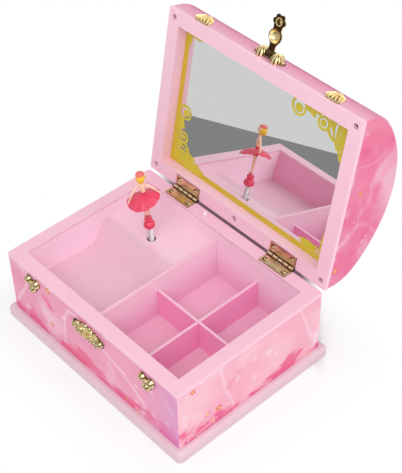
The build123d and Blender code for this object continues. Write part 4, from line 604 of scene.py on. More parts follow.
def make_floral_print():
    """Soft washes, veils, blossoms and sparks printed over a flat plan."""
    group, start, end = new_group("floral_print", [
        ("Plan", "Vector", None), ("Low", "Float", 0.0), ("High", "Float", 0.05),
        ("Ground", "Color", None), ("Deep", "Color", None), ("Veil", "Color", None),
        ("Blossom", "Color", None), ("Bud", "Color", None), ("Pollen", "Color", None),
        ("Brush", "Float", 0.9), ("Cloud", "Float", 0.5)],
        [("Color", "Color"), ("Ink", "Float")])
    plan = start["Plan"]
    height = split_xyz(group, plan)[1]
    wash = step(group, noise(group, plan, 13.0, 3.0, 1.4), 0.38, 0.7)
    colour = blend_colour(group, wash, start["Ground"], start["Deep"])
    waves = node(group, "ShaderNodeTexWave", {"Vector": plan, "Scale": 5.0, "Distortion": 10.0,
                                              "Detail": 2.0, "Detail Scale": 1.3},
                 wave_type="RINGS", rings_direction="Z")
    lines = calc(group, "MULTIPLY", step(group, waves.outputs["Fac"], 0.99, 1.0), 0.4)
    colour = blend_colour(group, lines, colour, start["Veil"])
    moved = node(group, "ShaderNodeVectorMath", {0: plan, 1: (0.37, 0.21, 0.0)}, operation="ADD").outputs[0]
    mist = step(group, noise(group, moved, 24.0, 3.0, 0.8), 0.5, 0.78)
    cloud = calc(group, "MULTIPLY", mist, start["Cloud"])
    colour = blend_colour(group, cloud, colour, start["Veil"])
    bubbles = use_group(group, "blossom_scatter", {"Plan": moved, "Scale": 70.0, "Size": 0.0024,
                                                   "Petals": 0.0, "Keep": 0.22, **NO_TOP})
    colour = blend_colour(group, calc(group, "MULTIPLY", bubbles["Petal"], 0.45), colour, start["Veil"])
    foot = step(group, height, start["Low"], start["High"], -1.0, -1.47)
    patch = noise(group, moved, 42.0, 1.0)
    smear = node(group, "ShaderNodeMapping", {"Vector": moved, "Rotation": (0.0, 0.0, 0.5),
                                              "Scale": (0.6, 1.7, 1.0)})
    stroke = noise(group, smear.outputs[0], 90.0, 4.0, 1.0)
    brush = calc(group, "MULTIPLY_ADD", patch, 1.6, foot)
    brush = calc(group, "ADD", brush, calc(group, "MULTIPLY", stroke, 0.8))
    halo = calc(group, "MULTIPLY", step(group, brush, -0.04, 0.16), 0.45)
    core = calc(group, "MULTIPLY", step(group, brush, 0.06, 0.2), start["Brush"])
    colour = blend_colour(group, calc(group, "MAXIMUM", halo, core), colour, start["Blossom"])
    large = use_group(group, "blossom_scatter", {"Plan": plan, "Scale": 46.0, "Size": 0.0052, "Petals": 5.0,
                                                 "Keep": 0.3, "Low": start["Low"], "High": start["High"]})
    paler = calc(group, "MULTIPLY", large["Shade"], 0.6)
    tint = blend_colour(group, paler, start["Blossom"], start["Veil"])
    colour = blend_colour(group, calc(group, "MULTIPLY", large["Petal"], 0.85), colour, tint)
    colour = blend_colour(group, large["Heart"], colour, start["Pollen"])
    small = use_group(group, "blossom_scatter", {"Plan": moved, "Scale": 52.0, "Size": 0.003, "Petals": 5.0,
                                                 "Keep": 0.12, **NO_TOP})
    colour = blend_colour(group, small["Petal"], colour, start["Bud"])
    colour = blend_colour(group, small["Heart"], colour, start["Pollen"])
    sparks = use_group(group, "blossom_scatter", {"Plan": plan, "Scale": 120.0, "Size": 0.0011,
                                                  "Petals": 4.0, "Keep": 0.1, **NO_TOP})
    colour = blend_colour(group, calc(group, "MULTIPLY", sparks["Petal"], 0.8), colour, start["Veil"])
    group.links.new(colour, end["Color"])
    group.links.new(calc(group, "MAXIMUM", large["Petal"], small["Petal"]), end["Ink"])


def dress(finish, *nodes):
    """Gives CAD nodes a finish."""
    for name in nodes:
        materials = NODES[name].data.materials
        materials.clear()
        materials.append(finish)


def plastic_finish(name, colour, roughness, mottle=0.05, grain=1800.0, relief=0.06, **plain):
    """Plastic or paint; colour is one colour, or a function that mixes it in the node tree."""
    material, tree, shader = new_finish(name, **plain)
    if callable(colour):
        colour = colour(tree)
    skin = use_group(tree, "moulded_skin", {"Color": colour, "Mottle": mottle, "Roughness": roughness,
                                            "Grain": grain})
    cover(tree, shader, skin, relief, 0.0002)
    return material


def metal_finish(name, colour, hollow, roughness, scratch=1.0, relief=0.015, toned=False):
    """Metal; toned ones follow the tone of each vertex, from bright to the dark of painted shade, with some
    patina, in their hollows.
    """
    material, tree, shader = new_finish(name, metallic=1.0)
    inputs = {"Color": colour, "Hollow": hollow, "Roughness": roughness, "Scratch": scratch}
    if toned:
        inputs["Tone"] = node(tree, "ShaderNodeAttribute", attribute_name="tone").outputs["Fac"]
    cover(tree, shader, use_group(tree, "shaded_rubbed_metal", inputs), relief, 0.0001)
    return material


def finish_of(name):
    return bpy.data.materials[name]


# Operators


class MUSICBOX_OT_finishes(bpy.types.Operator):
    """Builds the shared node groups and the finishes that several pieces use"""
    bl_idname = "musicbox.finishes"
    bl_label = "Finishes"

    def execute(self, context):
        look = context.scene.music_box_colours
        make_moulded_skin()
        make_shaded_rubbed_metal()
        make_blossom_scatter()
        make_floral_print()
        # Toned brass and steel carry painted shade in their hollows through the vertex tone.
        metal_finish("stamped_brass", look.brass, look.shade_and_tarnish, 0.16, toned=True)
        metal_finish("plain_brass", look.brass, look.shade_and_tarnish, 0.2)
        metal_finish("plated_steel", look.steel, linear(70, 68, 66), 0.2, toned=True)
        metal_finish("plain_steel", look.steel, linear(90, 90, 92), 0.28)
        plastic_finish("crimson_paint", look.crimson, 0.34, 0.12, 900.0, 0.08, coat_weight=0.2)
        plastic_finish("skin_paint", look.skin, 0.42, 0.08, 900.0, 0.06, subsurface_weight=0.05)
        plastic_finish("hair_paint", look.hair, 0.4, 0.18, 1400.0, 0.2)
        plastic_finish("cap_paint", look.cap, 0.4, 0.15, 1200.0, 0.15)
        plastic_finish("dark_paint", linear(60, 38, 34), 0.4)
        return {"FINISHED"}


class MUSICBOX_OT_case(bpy.types.Operator):
    """Finishes the plinth, tray, dividers and lid frame in moulded pink plastic"""
    bl_idname = "musicbox.case"
    bl_label = "Case"
    stage_depth = 42.9
    foot_shade_share = 0.68
    soft = 0.001

    def execute(self, context):
        look = context.scene.music_box_colours
        glossy = {"coat_weight": 0.15, "coat_roughness": 0.2}
        satin = {"coat_weight": 0.1, "coat_roughness": 0.25}
        rim = plastic_finish("rim_plastic", look.rim, 0.33, 0.05, **glossy)
        plinth = plastic_finish("plinth_plastic", look.plinth, 0.36, 0.06, **glossy)
        tray = plastic_finish("tray_plastic", lambda tree: self.tray_tint(tree, look), 0.38, 0.06, **satin)
        thin = plastic_finish("divider_plastic", lambda tree: self.divider_tint(tree, look), 0.38, 0.06,
                              **satin)
        dress(plinth, "base_plinth")
        dress(rim, "lid_frame")
        dress(tray, "inner_tray", "partition")
        dress(thin, "divider_long", "divider_short")
        board = plastic_finish("backing_board", linear(190, 184, 176), 0.7, 0.2, 2600.0, 0.3)
        dress(board, "mirror_backing")
        return {"FINISHED"}

    def upright_faces(self, tree):
        """Place on the piece, the way its faces look, and 1 where they stand upright."""
        where = tree.nodes.new("ShaderNodeTexCoord").outputs
        place = split_xyz(tree, where["Object"])
        facing = split_xyz(tree, where["Normal"])
        return place, facing, step(tree, calc(tree, "ABSOLUTE", facing[2]), 0.3, 0.7, 1.0, 0.0)

    def divider_tint(self, tree, look):
        """Deeper rose on the upright faces, a painted shade, under a paler top edge."""
        upright = self.upright_faces(tree)[2]
        return blend_colour(tree, upright, look.tray_rim, look.divider)

    def tray_tint(self, tree, look):
        """Stage, low pan and cells in their own pinks, and paler walls that darken down in the cells: painted
        light and shade.
        """
        place, facing, upright = self.upright_faces(tree)
        tray_high = node_box("inner_tray")[1] * MM
        wall_low, wall_high = (corner * MM for corner in node_box("partition"))
        stage_y = tray_high.y - self.stage_depth * MM
        wall = wall_low.x
        top = tray_high.z
        edge = wall_high.z
        foot = node_box("divider_long")[0].z * MM
        on_stage = step(tree, place[1], stage_y - 6 * self.soft, stage_y + 2 * self.soft)
        pan = blend_colour(tree, on_stage, look.pan_low, look.pan)
        on_right = step(tree, place[0], wall - self.soft, wall + self.soft)
        floors = blend_colour(tree, on_right, pan, look.tray)
        low = step(tree, place[2], foot, foot + (top - foot) * self.foot_shade_share, 1.0, 0.0)
        in_cells = calc(tree, "GREATER_THAN", place[0], wall + self.soft / 2)
        # Painted shade: the walls in the cells darken towards their foot.
        plain = blend_colour(tree, calc(tree, "MULTIPLY", low, in_cells), look.lit_tray_wall, look.wall_foot_shade)
        # Painted shade: walls that face the back take a deeper pink.
        wall_tint = blend_colour(tree, step(tree, facing[1], 0.3, 0.8), plain, look.front_wall_shade)
        walls = blend_colour(tree, upright, floors, wall_tint)
        level = calc(tree, "SUBTRACT", 1.0, upright)
        # Painted highlight: the partition's level top takes the lighter rim pink.
        on_edge = calc(tree, "MULTIPLY", level, step(tree, place[2], edge - 2 * self.soft, edge - self.soft))
        on_top = calc(tree, "MAXIMUM", on_edge, step(tree, place[2], top - 2 * self.soft, top - self.soft))
        return blend_colour(tree, on_top, walls, look.tray_rim)


# Metres along the print from the front to the other walls, and to the lid's ends
SIDE_SHIFT = 0.43
BACK_SHIFT = 0.71
LEFT_SHIFT = 1.3
END_SHIFT = 0.87
DOME_RADIUS = 0.056


def plan_of_walls(tree):
    """Flat plan of the four walls: along the wall, and up."""
    where = tree.nodes.new("ShaderNodeTexCoord")
    spot = split_xyz(tree, where.outputs["Object"])
    facing = split_xyz(tree, where.outputs["Normal"])
    on_side = calc(tree, "GREATER_THAN", calc(tree, "ABSOLUTE", facing[0]), 0.5)
    behind = calc(tree, "GREATER_THAN", facing[1], 0.5)
    across = blend_value(tree, on_side, spot[0], calc(tree, "ADD", spot[1], SIDE_SHIFT))
    across = calc(tree, "MULTIPLY_ADD", behind, BACK_SHIFT, across)
    across = calc(tree, "MULTIPLY_ADD", calc(tree, "LESS_THAN", facing[0], -0.5), LEFT_SHIFT, across)
    return join_xy(tree, across, spot[2]), spot, on_side


def plan_of_lid(tree):
    """Flat plan of the lid: along it and over its dome, or up on its ends."""
    where = tree.nodes.new("ShaderNodeTexCoord")
    pivot = tuple(LID_PIVOT * MM)
    shut = node(tree, "ShaderNodeVectorRotate", {"Vector": where.outputs["Object"], "Center": pivot,
                                                 "Angle": LID_SWING}, rotation_type="X_AXIS").outputs[0]
    spot = split_xyz(tree, shut)
    facing = split_xyz(tree, where.outputs["Normal"])
    on_end = calc(tree, "GREATER_THAN", calc(tree, "ABSOLUTE", facing[0]), 0.7)
    rise = calc(tree, "SUBTRACT", spot[2], LID_LOW.z * MM)
    around = calc(tree, "ARCTAN2", rise, calc(tree, "MULTIPLY", spot[1], -1.0))
    over = calc(tree, "MULTIPLY", around, DOME_RADIUS)
    across = blend_value(tree, on_end, spot[0], calc(tree, "ADD", spot[1], END_SHIFT))
    return join_xy(tree, across, blend_value(tree, on_end, over, rise))


class MUSICBOX_OT_print(bpy.types.Operator):
    """Prints soft washes and blossoms on the walls and the lid"""
    bl_idname = "musicbox.print"
    bl_label = "Print"

    def execute(self, context):
        look = context.scene.music_box_colours
        material, tree, shader = new_finish("wall_print", coat_weight=0.25, coat_roughness=0.18)
        plan, spot, on_side = plan_of_walls(tree)
        inks = {"Veil": look.veil, "Blossom": look.blossom, "Bud": look.bud, "Pollen": look.pollen}
        foot = SHELL_LOW.z * MM
        printed = use_group(tree, "floral_print", {
            "Plan": plan, "Low": foot + 0.002, "High": foot + 0.022,
            "Ground": blend_colour(tree, on_side, look.wall, look.side),
            "Deep": blend_colour(tree, on_side, look.wall_deep, look.side_deep), **inks})
        front = calc(tree, "SUBTRACT", 1.0, on_side)
        dusk = calc(tree, "MULTIPLY", step(tree, spot[0], 0.045, 0.09), calc(tree, "MULTIPLY", front, 0.6))
        self.lay(tree, shader, blend_colour(tree, dusk, printed["Color"], look.violet), printed["Ink"])
        dress(material, "body_shell")
        material, tree, shader = new_finish("lid_print", coat_weight=0.25, coat_roughness=0.18)
        plan = plan_of_lid(tree)
        printed = use_group(tree, "floral_print", {
            "Plan": plan, "Low": 0.012, "High": 0.06, "Ground": look.lid, "Deep": look.lid_deep,
            "Brush": 0.6, "Cloud": 0.35, **inks})
        over = split_xyz(tree, plan)
        front = calc(tree, "MULTIPLY", step(tree, over[1], 0.018, 0.034, 1.0, 0.0),
                     calc(tree, "LESS_THAN", over[0], END_SHIFT / 2))
        band = blend_colour(tree, step(tree, over[1], 0.0, 0.016), look.lid, look.lid_deep)
        ends = calc(tree, "MULTIPLY", calc(tree, "GREATER_THAN", over[0], END_SHIFT / 2), 0.6)
        blush = calc(tree, "MULTIPLY", step(tree, noise(tree, plan, 30.0, 2.0, 0.6), 0.45, 0.68), ends)
        washed = blend_colour(tree, blush, printed["Color"], look.blossom)
        self.lay(tree, shader, blend_colour(tree, front, washed, band), printed["Ink"])
        dress(material, "lid_shell")
        return {"FINISHED"}

    def lay(self, tree, shader, colour, ink):
        """Lays a print on the shader, raised where there is ink."""
        skin = use_group(tree, "moulded_skin", {"Color": colour, "Mottle": 0.06, "Roughness": 0.34,
                                                "Grain": 2400.0})
        raised = calc(tree, "MULTIPLY_ADD", ink, 0.6, calc(tree, "MULTIPLY", skin["Height"], 0.5))
        cover(tree, shader, skin, 0.08, 0.0002, raised)


def flat_strip(path, widths):
    """Flat ribbon along a path of u, v places."""
    left = []
    right = []
    for i, point in enumerate(path):
        along = (path[min(i + 1, len(path) - 1)] - path[max(i - 1, 0)]).normalized()
        side = Vector((-along.y, along.x, 0)) * widths[i] / 2
        left.append(point + side)
        right.append(point - side)
    count = len(path)
    faces = [(i, i + 1, count + i + 1, count + i) for i in range(count - 1)]
    return left + right, faces


def volute(centre, outer, inner, start, sweep, thick, thin):
    """Flat scroll that winds in about a centre; angles in degrees."""
    steps = max(int(abs(sweep) / 12), 4)
    path = []
    widths = []
    for t in shares(steps):
        a = math.radians(start + sweep * t)
        r = outer + (inner - outer) * t
        path.append(Vector((centre[0] + r * math.cos(a), centre[1] + r * math.sin(a), 0)))
        widths.append(thick + (thin - thick) * t)
    return flat_strip(path, widths)


def leaf_axis(tail, tip):
    """Ends of a leaf, and the direction across it."""
    tail = Vector((*tail, 0))
    tip = Vector((*tip, 0))
    return tail, tip, Vector((tail.y - tip.y, tip.x - tail.x, 0)).normalized()


def flat_leaf(tail, tip, width, bow=0.0):
    """Flat leaf from tail to tip, bowed sideways."""
    tail, tip, across = leaf_axis(tail, tip)
    path = []
    widths = []
    for t in shares(14):
        path.append(tail.lerp(tip, t) + across * bow * math.sin(math.pi * t))
        widths.append(max(width * math.sin(math.pi * t ** 0.7), 0.05))
    return flat_strip(path, widths)


def flat_dot(centre, radius):
    """Flat round dot."""
    ring = circle(centre, radius, radius, 20, 0)
    return ring, [tuple(range(len(ring)))]


def leaf_lines(tail, tip, width, bow=0.0, line=1.4):
    """Outline of a leaf from tail to tip, with a rib along its middle."""
    tail, tip, across = leaf_axis(tail, tip)
    parts = []
    for side in (-1, 0, 1):
        path = []
        for share in shares(16):
            t = share if side else 0.1 + 0.6 * share
            swell = side * width / 2 * math.sin(math.pi * t ** 0.7)
            path.append(tail.lerp(tip, t) + across * (bow * math.sin(math.pi * t) + swell))
        parts.append(flat_strip(path, [line] * len(path)))
    return parts


def scroll_arm(reach, bulk):
    """Scrolls, balls and leaves along one edge; bulk is their size across it."""
    parts = [
        volute((0.87 * reach, 0.14 * bulk), 0.15 * bulk, 0.09 * bulk, -130, 330, 2.2, 1.4),
        flat_dot((0.88 * reach, 0.15 * bulk), 0.065 * bulk),
        flat_leaf((0.82 * reach, -0.01 * bulk), (0.6 * reach, 0.17 * bulk), 0.2 * bulk, 0.04 * bulk),
        flat_leaf((0.7 * reach, -0.01 * bulk), (0.5 * reach, 0.1 * bulk), 0.14 * bulk, 0.02 * bulk),
        volute((0.45 * reach, 0.16 * bulk), 0.1 * bulk, 0.08 * bulk, -90, -360, 2.0, 1.4),
        flat_dot((0.45 * reach, 0.16 * bulk), 0.05 * bulk),
        volute((0.2 * reach, 0.17 * bulk), 0.16 * bulk, 0.12 * bulk, -60, 330, 2.4, 1.6),
        flat_leaf((0.36 * reach, -0.01 * bulk), (0.28 * reach, 0.2 * bulk), 0.1 * bulk, 0.02 * bulk),
        flat_dot((0.62 * reach, 0.02 * bulk), 0.05 * bulk),
        flat_leaf((-0.04 * reach, 0.0), (0.3 * reach, 0.02 * bulk), 0.12 * bulk),
    ]
    parts += leaf_lines((0.3 * reach, 0.0), (0.98 * reach, -0.01 * bulk), 0.1 * bulk)
    return parts


def leaf_arm(reach, bulk):
    """Bundle of long leaves along one edge."""
    parts = []
    for share, lift, width in ((1.0, 0.02, 0.12), (0.86, 0.1, 0.12), (0.66, 0.18, 0.13)):
        tip = (share * reach, (lift - 0.02) * bulk)
        parts += leaf_lines((-0.04 * reach, lift * bulk), tip, width * bulk, 0.03 * bulk)
    parts.append(flat_leaf((0.4 * reach, 0.0), (1.02 * reach, 0.04 * bulk), 0.16 * bulk))
    parts.append(flat_leaf((0.0, 0.02 * bulk), (0.7 * reach, 0.12 * bulk), 0.1 * bulk, 0.02 * bulk))
    return parts


def corner_scroll(across, up, level):
    """Traditional corner ornament: scrolls along one edge and leaves along the other."""
    bulk = max(across, up)
    arms = (scroll_arm, leaf_arm) if level else (leaf_arm, scroll_arm)
    parts = arms[0](across, bulk)
    for verts, faces in arms[1](up, bulk):
        parts.append(([Vector((v.y, v.x, 0)) for v in verts], faces))
    return parts


def small_corner(reach):
    """Small leafy corner."""
    parts = leaf_lines((-0.1 * reach, 0.1 * reach), (reach, 0.12 * reach), 0.3 * reach)
    parts.append(flat_leaf((0.3 * reach, 0.12 * reach), (1.1 * reach, 0.25 * reach), 0.3 * reach))
    parts.append(flat_leaf((0.0, 0.0), (0.15 * reach, 0.9 * reach), 0.3 * reach))
    return parts


class MUSICBOX_OT_mirror(bpy.types.Operator):
    """Silvers the mirror and prints the gold border and corner scrolls on it"""
    bl_idname = "musicbox.mirror"
    bl_label = "Mirror"
    lap = 1.4
    ink_gap = 0.04
    ink_step = 0.004

    def execute(self, context):
        look = context.scene.music_box_colours
        sizes = context.scene.music_box_sizes
        material, tree, shader = new_finish("silvered_glass", metallic=1.0)
        where = tree.nodes.new("ShaderNodeTexCoord").outputs["Object"]
        smudge = step(tree, noise(tree, where, 40.0, 4.0, 1.0), 0.55, 0.8)
        tree.links.new(blend_colour(tree, smudge, (0.86, 0.88, 0.875, 1), (0.83, 0.85, 0.845, 1)),
                       shader.inputs["Base Color"])
        tree.links.new(calc(tree, "MULTIPLY_ADD", smudge, 0.02, 0.012), shader.inputs["Roughness"])
        dress(material, "mirror")
        gold = plastic_finish("gold_print", look.gold_print, 0.4, 0.08, 700.0, 0.05)
        olive = plastic_finish("scroll_print", look.scroll_print, 0.4, 0.3, 700.0, 0.05)
        shape = Shape()
        lay = Matrix.Translation((0, 0, MIRROR_LOW.z - self.ink_gap))
        over = lay @ Matrix.Translation((0, 0, -2 * self.ink_step))
        half_x = MIRROR_HIGH.x - self.lap
        half_y = MIRROR_HIGH.y - self.lap
        width = sizes.border_width
        for side in (-1, 1):
            middle_x = side * (half_x - width / 2)
            middle_y = side * (half_y - width / 2)
            upright = [Vector((middle_x, -half_y, 0)), Vector((middle_x, half_y, 0))]
            level = [Vector((-half_x, middle_y, 0)), Vector((half_x, middle_y, 0))]
            shape.add(flat_strip(upright, [width, width]), 0, lay)
            shape.add(flat_strip(level, [width, width]), 0, over)
        for sx in (-1, 1):
            for sy in (-1, 1):
                corner = (sx * (half_x - 0.8 * width), sy * (half_y - 0.8 * width))
                flip = Matrix(((-sx, 0, 0, corner[0]), (0, -sy, 0, corner[1]), (0, 0, 1, 0), (0, 0, 0, 1)))
                for i, part in enumerate(self.ornament(sx, sy, sizes.scroll_reach)):
                    shape.add(part, 1, lay @ flip @ Matrix.Translation((0, 0, -self.ink_step * (i + 3))))
        build("mirror_border", shape, [gold, olive], "lid", place=OPENED)
        return {"FINISHED"}

    def ornament(self, sx, sy, reach):
        """Ornament of a corner: two are large and two are small."""
        if sx * sy > 0:
            return small_corner((0.42 if sx > 0 else 0.25) * reach)
        if sx < 0:
            return corner_scroll(0.62 * reach, 0.9 * reach, False)
        return corner_scroll(reach, 0.62 * reach, True)


# Thickness of the stamped plates in millimetres
PLATE = 0.7


def on_front(x, z, y_wall):
    """Lays u, v, h on a front wall: u to the right, v up, h out of the wall."""
    return Matrix(((1, 0, 0, x), (0, 0, -1, y_wall), (0, 1, 0, z), (0, 0, 0, 1)))


def domed(u, v, centre, radius, rise):
    """Height of a dome over a plate."""
    share = 1 - ((u - centre[0]) ** 2 + (v - centre[1]) ** 2) / radius ** 2
    return rise * math.sqrt(share) if share > 0 else 0.0


def rosette(u, v, centre, radius, rise, petals):
    """Height and tone of a petalled boss with a bead in its middle."""
    r = math.hypot(u - centre[0], v - centre[1]) / radius
    if r >= 1:
        return 0.0, 0.0
    around = math.atan2(v - centre[1], u - centre[0])
    groove = (1 - abs(math.cos(petals / 2 * around)) ** 0.6) * ease(r, 0.3, 0.55)
    ring = bell(r, 0.36, 0.1)
    height = rise * math.sqrt(1 - r * r) * (1 - 0.2 * groove - 0.14 * ring)
    # Tone darkens in the petal grooves and in the ring round the bead: painted shade.
    return height, 1 - 0.9 * max(ease(groove, 0.15, 0.6), 0.8 * ring)


class MUSICBOX_OT_box_trim(bpy.types.Operator):
    """Stamps the three-ball clips and the catch plate on the front wall"""
    bl_idname = "musicbox.box_trim"
    bl_label = "Box trim"
    clip_rise = 7.3
    clip_spread = 3.9
    clip_lobe = 3.4
    ball_radius = 3.2
    ball_rise = 2.9
    ball_petals = 6
    border_rise = 0.3

    def execute(self, context):
        brass = finish_of("stamped_brass")
        for side in ("left", "right"):
            name = "box_clip_" + side
            low, high = node_box(name)
            part, tones = stamped(lobes_outline(self.lobes()), self.clip_height)
            shape = Shape()
            shape.add(part, 0, on_front((low.x + high.x) / 2, low.z + self.clip_rise, FRONT_Y), tones)
            build("clip_stamping_" + side, shape, [brass], "case", [name])
        low, high = node_box("catch_plate")
        part, tones = stamped(lobes_outline(self.catch_circles()), self.catch_height, rings=44, spokes=240)
        shape = Shape()
        place = on_front(0, (low.z + high.z) / 2, FRONT_Y)
        shape.add(part, 0, place, tones)
        stud = [(1.5, 0.8), (1.5, 2.6), (1.1, 3.0), (1.1, 3.2), (1.45, 3.5), (1.5, 3.8), (1.2, 4.05),
                (0.01, 4.1)]
        shape.add(lathe(stud, 32), 0, place)
        build("catch_stamping", shape, [brass], "case", ["catch_plate"])
        return {"FINISHED"}

    def lobes(self):
        """Middle of a clip and its three balls."""
        spread = self.clip_spread
        centres = ((0, 0), (-spread, spread / 2), (spread, spread / 2), (0, -spread))
        return [(x, y, self.clip_lobe) for x, y in centres]

    def clip_height(self, u, v, inside):
        """Petalled ball on each lobe, a bead between them and a low border."""
        border = self.border_rise * bell(inside, 0.5, 0.3)
        bosses = [rosette(u, v, (x, y), self.ball_radius, self.ball_rise, self.ball_petals)
                  for x, y, _ in self.lobes()[1:]]
        bosses.append(rosette(u, v, (0, 0.4), 1.9, 2.4, 4))
        # The flat plate and low border take a dark tone: painted shade between the balls.
        rise, tone = max(bosses + [(border, 0.3)])
        return PLATE + rise, tone

    def catch_circles(self):
        """Long plate with a round end on each side."""
        circles = [(x, 0, 5.0) for x in (-5, -2.5, 0, 2.5, 5)]
        circles += [(side * 11.0, 0, 4.4) for side in (-1, 1)]
        circles += [(x, side * 3.4, 3.6) for side in (-1, 1) for x in (-2.2, 2.2)]
        circles += [(side * 7.4, lift * 2.2, 3.2) for side in (-1, 1) for lift in (-1, 1)]
        return circles

    def catch_height(self, u, v, inside):
        """Swelling leaves and balls about a smooth seat for the hasp."""
        border = self.border_rise * bell(inside, 0.5, 0.3)
        balls = ((12.6, 0.0, 2.5, 2.8), (9.3, 3.1, 2.3, 2.6), (5.6, 4.7, 2.0, 1.7), (2.0, 5.3, 1.8, 1.2))
        forms = [rosette(abs(u), abs(v), (x, y), r, lift, self.ball_petals) for x, y, r, lift in balls]
        leaf = 1 - ((abs(u) - 7.3) / 2.9) ** 2 - (v / 1.5) ** 2
        forms.append((2.0 * math.sqrt(max(leaf, 0)), ease(abs(v), 0.1, 0.5)))
        petal = 1 - ((abs(u) - 3.7) / 1.7) ** 2 - ((abs(v) - 2.4) / 1.1) ** 2
        forms.append((1.3 * math.sqrt(max(petal, 0)), 1.0))
        seat = 0.5 * bell(math.hypot(u, v), 2.4, 0.4)
        # Tone darkens along the leaves' middle, in the balls' grooves and on the low border: painted shade.
        rise, tone = max(forms + [(seat, 0.9), (border, 0.25)])
        return PLATE + rise, tone


class MUSICBOX_OT_lid_trim(bpy.types.Operator):
    """Stamps the ribbed clips and the hasp's ribbed lugs on the lid's front"""
    bl_idname = "musicbox.lid_trim"
    bl_label = "Lid trim"
    bracket_half_y = 2.7
    bracket_corner = 5.0
    lug_place = 6.4
    lug_half_x = 3.9
    lug_half_y = 5.0
    lug_corner = 2.6
    lug_rise = 5.0
    lug_ribs = 12
    rib_places = (-4.4, -2.2, 0, 2.2, 4.4)
    rib_half = 1.05
    rib_rise = 2.6
    fan_top = 4.6
    fan_length = 7.7
    flap_half = 0.7
    neck_half = 2.6
    neck_rise = 0.68
    boss_place = 11.0
    boss_radius = 5.2
    dome_radius = 5.35
    bowl_radius = 4.45
    boss_sink = 2.15
    flower_place = 20.5
    flower_petals = 6
    petal_place = 3.2
    petal_radius = 1.95

    def execute(self, context):
        brass = finish_of("stamped_brass")
        for side in ("left", "right"):
            name = "lid_clip_" + side
            low, high = node_box(name, CLOSED)
            part, tones = stamped(lobes_outline(self.shell_circles()), self.clip_height, 40, 200)
            shape = Shape()
            place = on_front((low.x + high.x) / 2, (low.z + high.z) / 2, LID_FRONT_Y)
            shape.add(part, 0, place, tones)
            build("clip_ribs_" + side, shape, [brass], "lid", [name], OPENED)
        self.bracket(brass)
        self.flap(brass)
        dress(finish_of("plain_brass"), "hasp_pin")
        return {"FINISHED"}

    def shell_circles(self):
        """Scalloped lower edge with ribs, and a crest above."""
        circles = [(x, -3.1, 2.1) for x in (-3.9, -2.0, 0, 2.0, 3.9)]
        for side in (-1, 1):
            circles += [(side * 3.2, -0.6, 2.6), (side * 2.7, 2.0, 2.3)]
        return circles + [(0, 0, 3.4), (0, 3.4, 2.3)]

    def clip_height(self, u, v, inside):
        """Five ribs that fan out downwards from a crest with a bead on top."""
        fan = max(self.fan_top - v, 0.5) / self.fan_length
        ribs = 0.0
        for x in self.rib_places:
            flat = 1 - ((u - x * fan) / (self.rib_half * min(fan, 1))) ** 2
            if flat > 0:
                ribs = max(ribs, math.sqrt(flat))
        rise = self.rib_rise * ribs * ease(3.0 - v, 0, 2.0) * ease(v + 5.8, 0, 1.2)
        bright = ease(ribs, 0.3, 0.65) * ease(3.0 - v, 0, 1.0)
        crest = 1 - ((v - 2.6) / 1.0) ** 2 - (u / 4.4) ** 2
        # Tone is bright on the ribs and dark between them: painted shade in the grooves.
        rise, tone = max((rise, 0.06 + 0.94 * bright), (1.9 * math.sqrt(max(crest, 0)), 1.0),
                         (domed(u, v, (0, 4.1), 1.3, 1.5), 1.0))
        return PLATE + rise, tone

    def bracket(self, brass):
        """Plate on the lid's front with two domed lugs, which hold the hasp's pin."""
        low, high = node_box("hasp_bracket", CLOSED)
        middle = (low.z + high.z) / 2
        shape = Shape()
        part, tones = stamped(box_outline(high.x, self.bracket_half_y, self.bracket_corner),
                              lambda u, v, inside: (0.9 + 0.25 * bell(inside, 0.6, 0.3), 0.3),
                              rings=14, spokes=96)
        shape.add(part, 0, on_front(0, middle, LID_FRONT_Y), tones)
        part, tones = stamped(box_outline(self.lug_half_x, self.lug_half_y, self.lug_corner), self.lug_height,
                              rings=40, spokes=196, edge=0.2)
        for side in (-1, 1):
            shape.add(part, 0, on_front(side * self.lug_place, middle, LID_FRONT_Y), tones)
        build("hasp_lugs", shape, [brass], "lid", ["hasp_bracket"], OPENED)

    def lug_height(self, u, v, inside):
        """Dome whose ribs run from its foot to its top."""
        out = abs(u / self.lug_half_x) ** self.lug_corner
        share = max(1 - out - abs(v / self.lug_half_y) ** self.lug_corner, 0)
        groove = 1 - abs(math.cos(self.lug_ribs / 2 * math.atan2(v, u))) ** 0.7
        rib = 1 - groove * ease(math.hypot(u, v), 0.6, 1.8)
        rise = self.lug_rise * math.sqrt(share) * (0.85 + 0.15 * rib)
        # Tone darkens in the grooves between the ribs: painted shade.
        return 0.2 + rise, 0.02 + 0.98 * ease(rib, 0.5, 0.8)

    def flap(self, brass):
        """Flap along -v from its pivot, hollow boss in the middle and a flower at its end."""
        pivot = CLOSED @ joint_place("hasp_flip")
        place = Matrix.Translation(pivot) @ turned(-HASP_LIFT, "X")
        shape = Shape()
        barrel = tube([(-3, 0, 0), (-2.8, 0, 0), (2.8, 0, 0), (3, 0, 0)], [1.7, 1.9, 1.9, 1.7], 28)
        shape.add(barrel, 0, place, [0.2] * len(barrel[0]))
        for start, end in ((-1.2, -7.0), (-14.9, -17.6)):
            self.neck(shape, place, start, end)
        part, tones = stamped(lobes_outline([(0, 0, self.boss_radius)]), self.boss_front, rings=26,
                              spokes=96, edge=0.4, back=self.boss_back)
        shape.add(part, 0, place @ Matrix.Translation((0, -self.boss_place, 0)), tones)
        ring = circle((0, 0), self.petal_place, self.petal_place, self.flower_petals, 0)
        petals = [(centre.x, centre.y, self.petal_radius) for centre in ring]
        part, tones = stamped(lobes_outline([(0, 0, self.petal_place)] + petals), self.petal_front, rings=40,
                              spokes=144, edge=0.4, back=self.petal_back)
        shape.add(part, 0, place @ Matrix.Translation((0, -self.flower_place, 0)), tones)
        build("hasp_flower", shape, [brass], "hasp", ["hasp_flap"], OPENED)

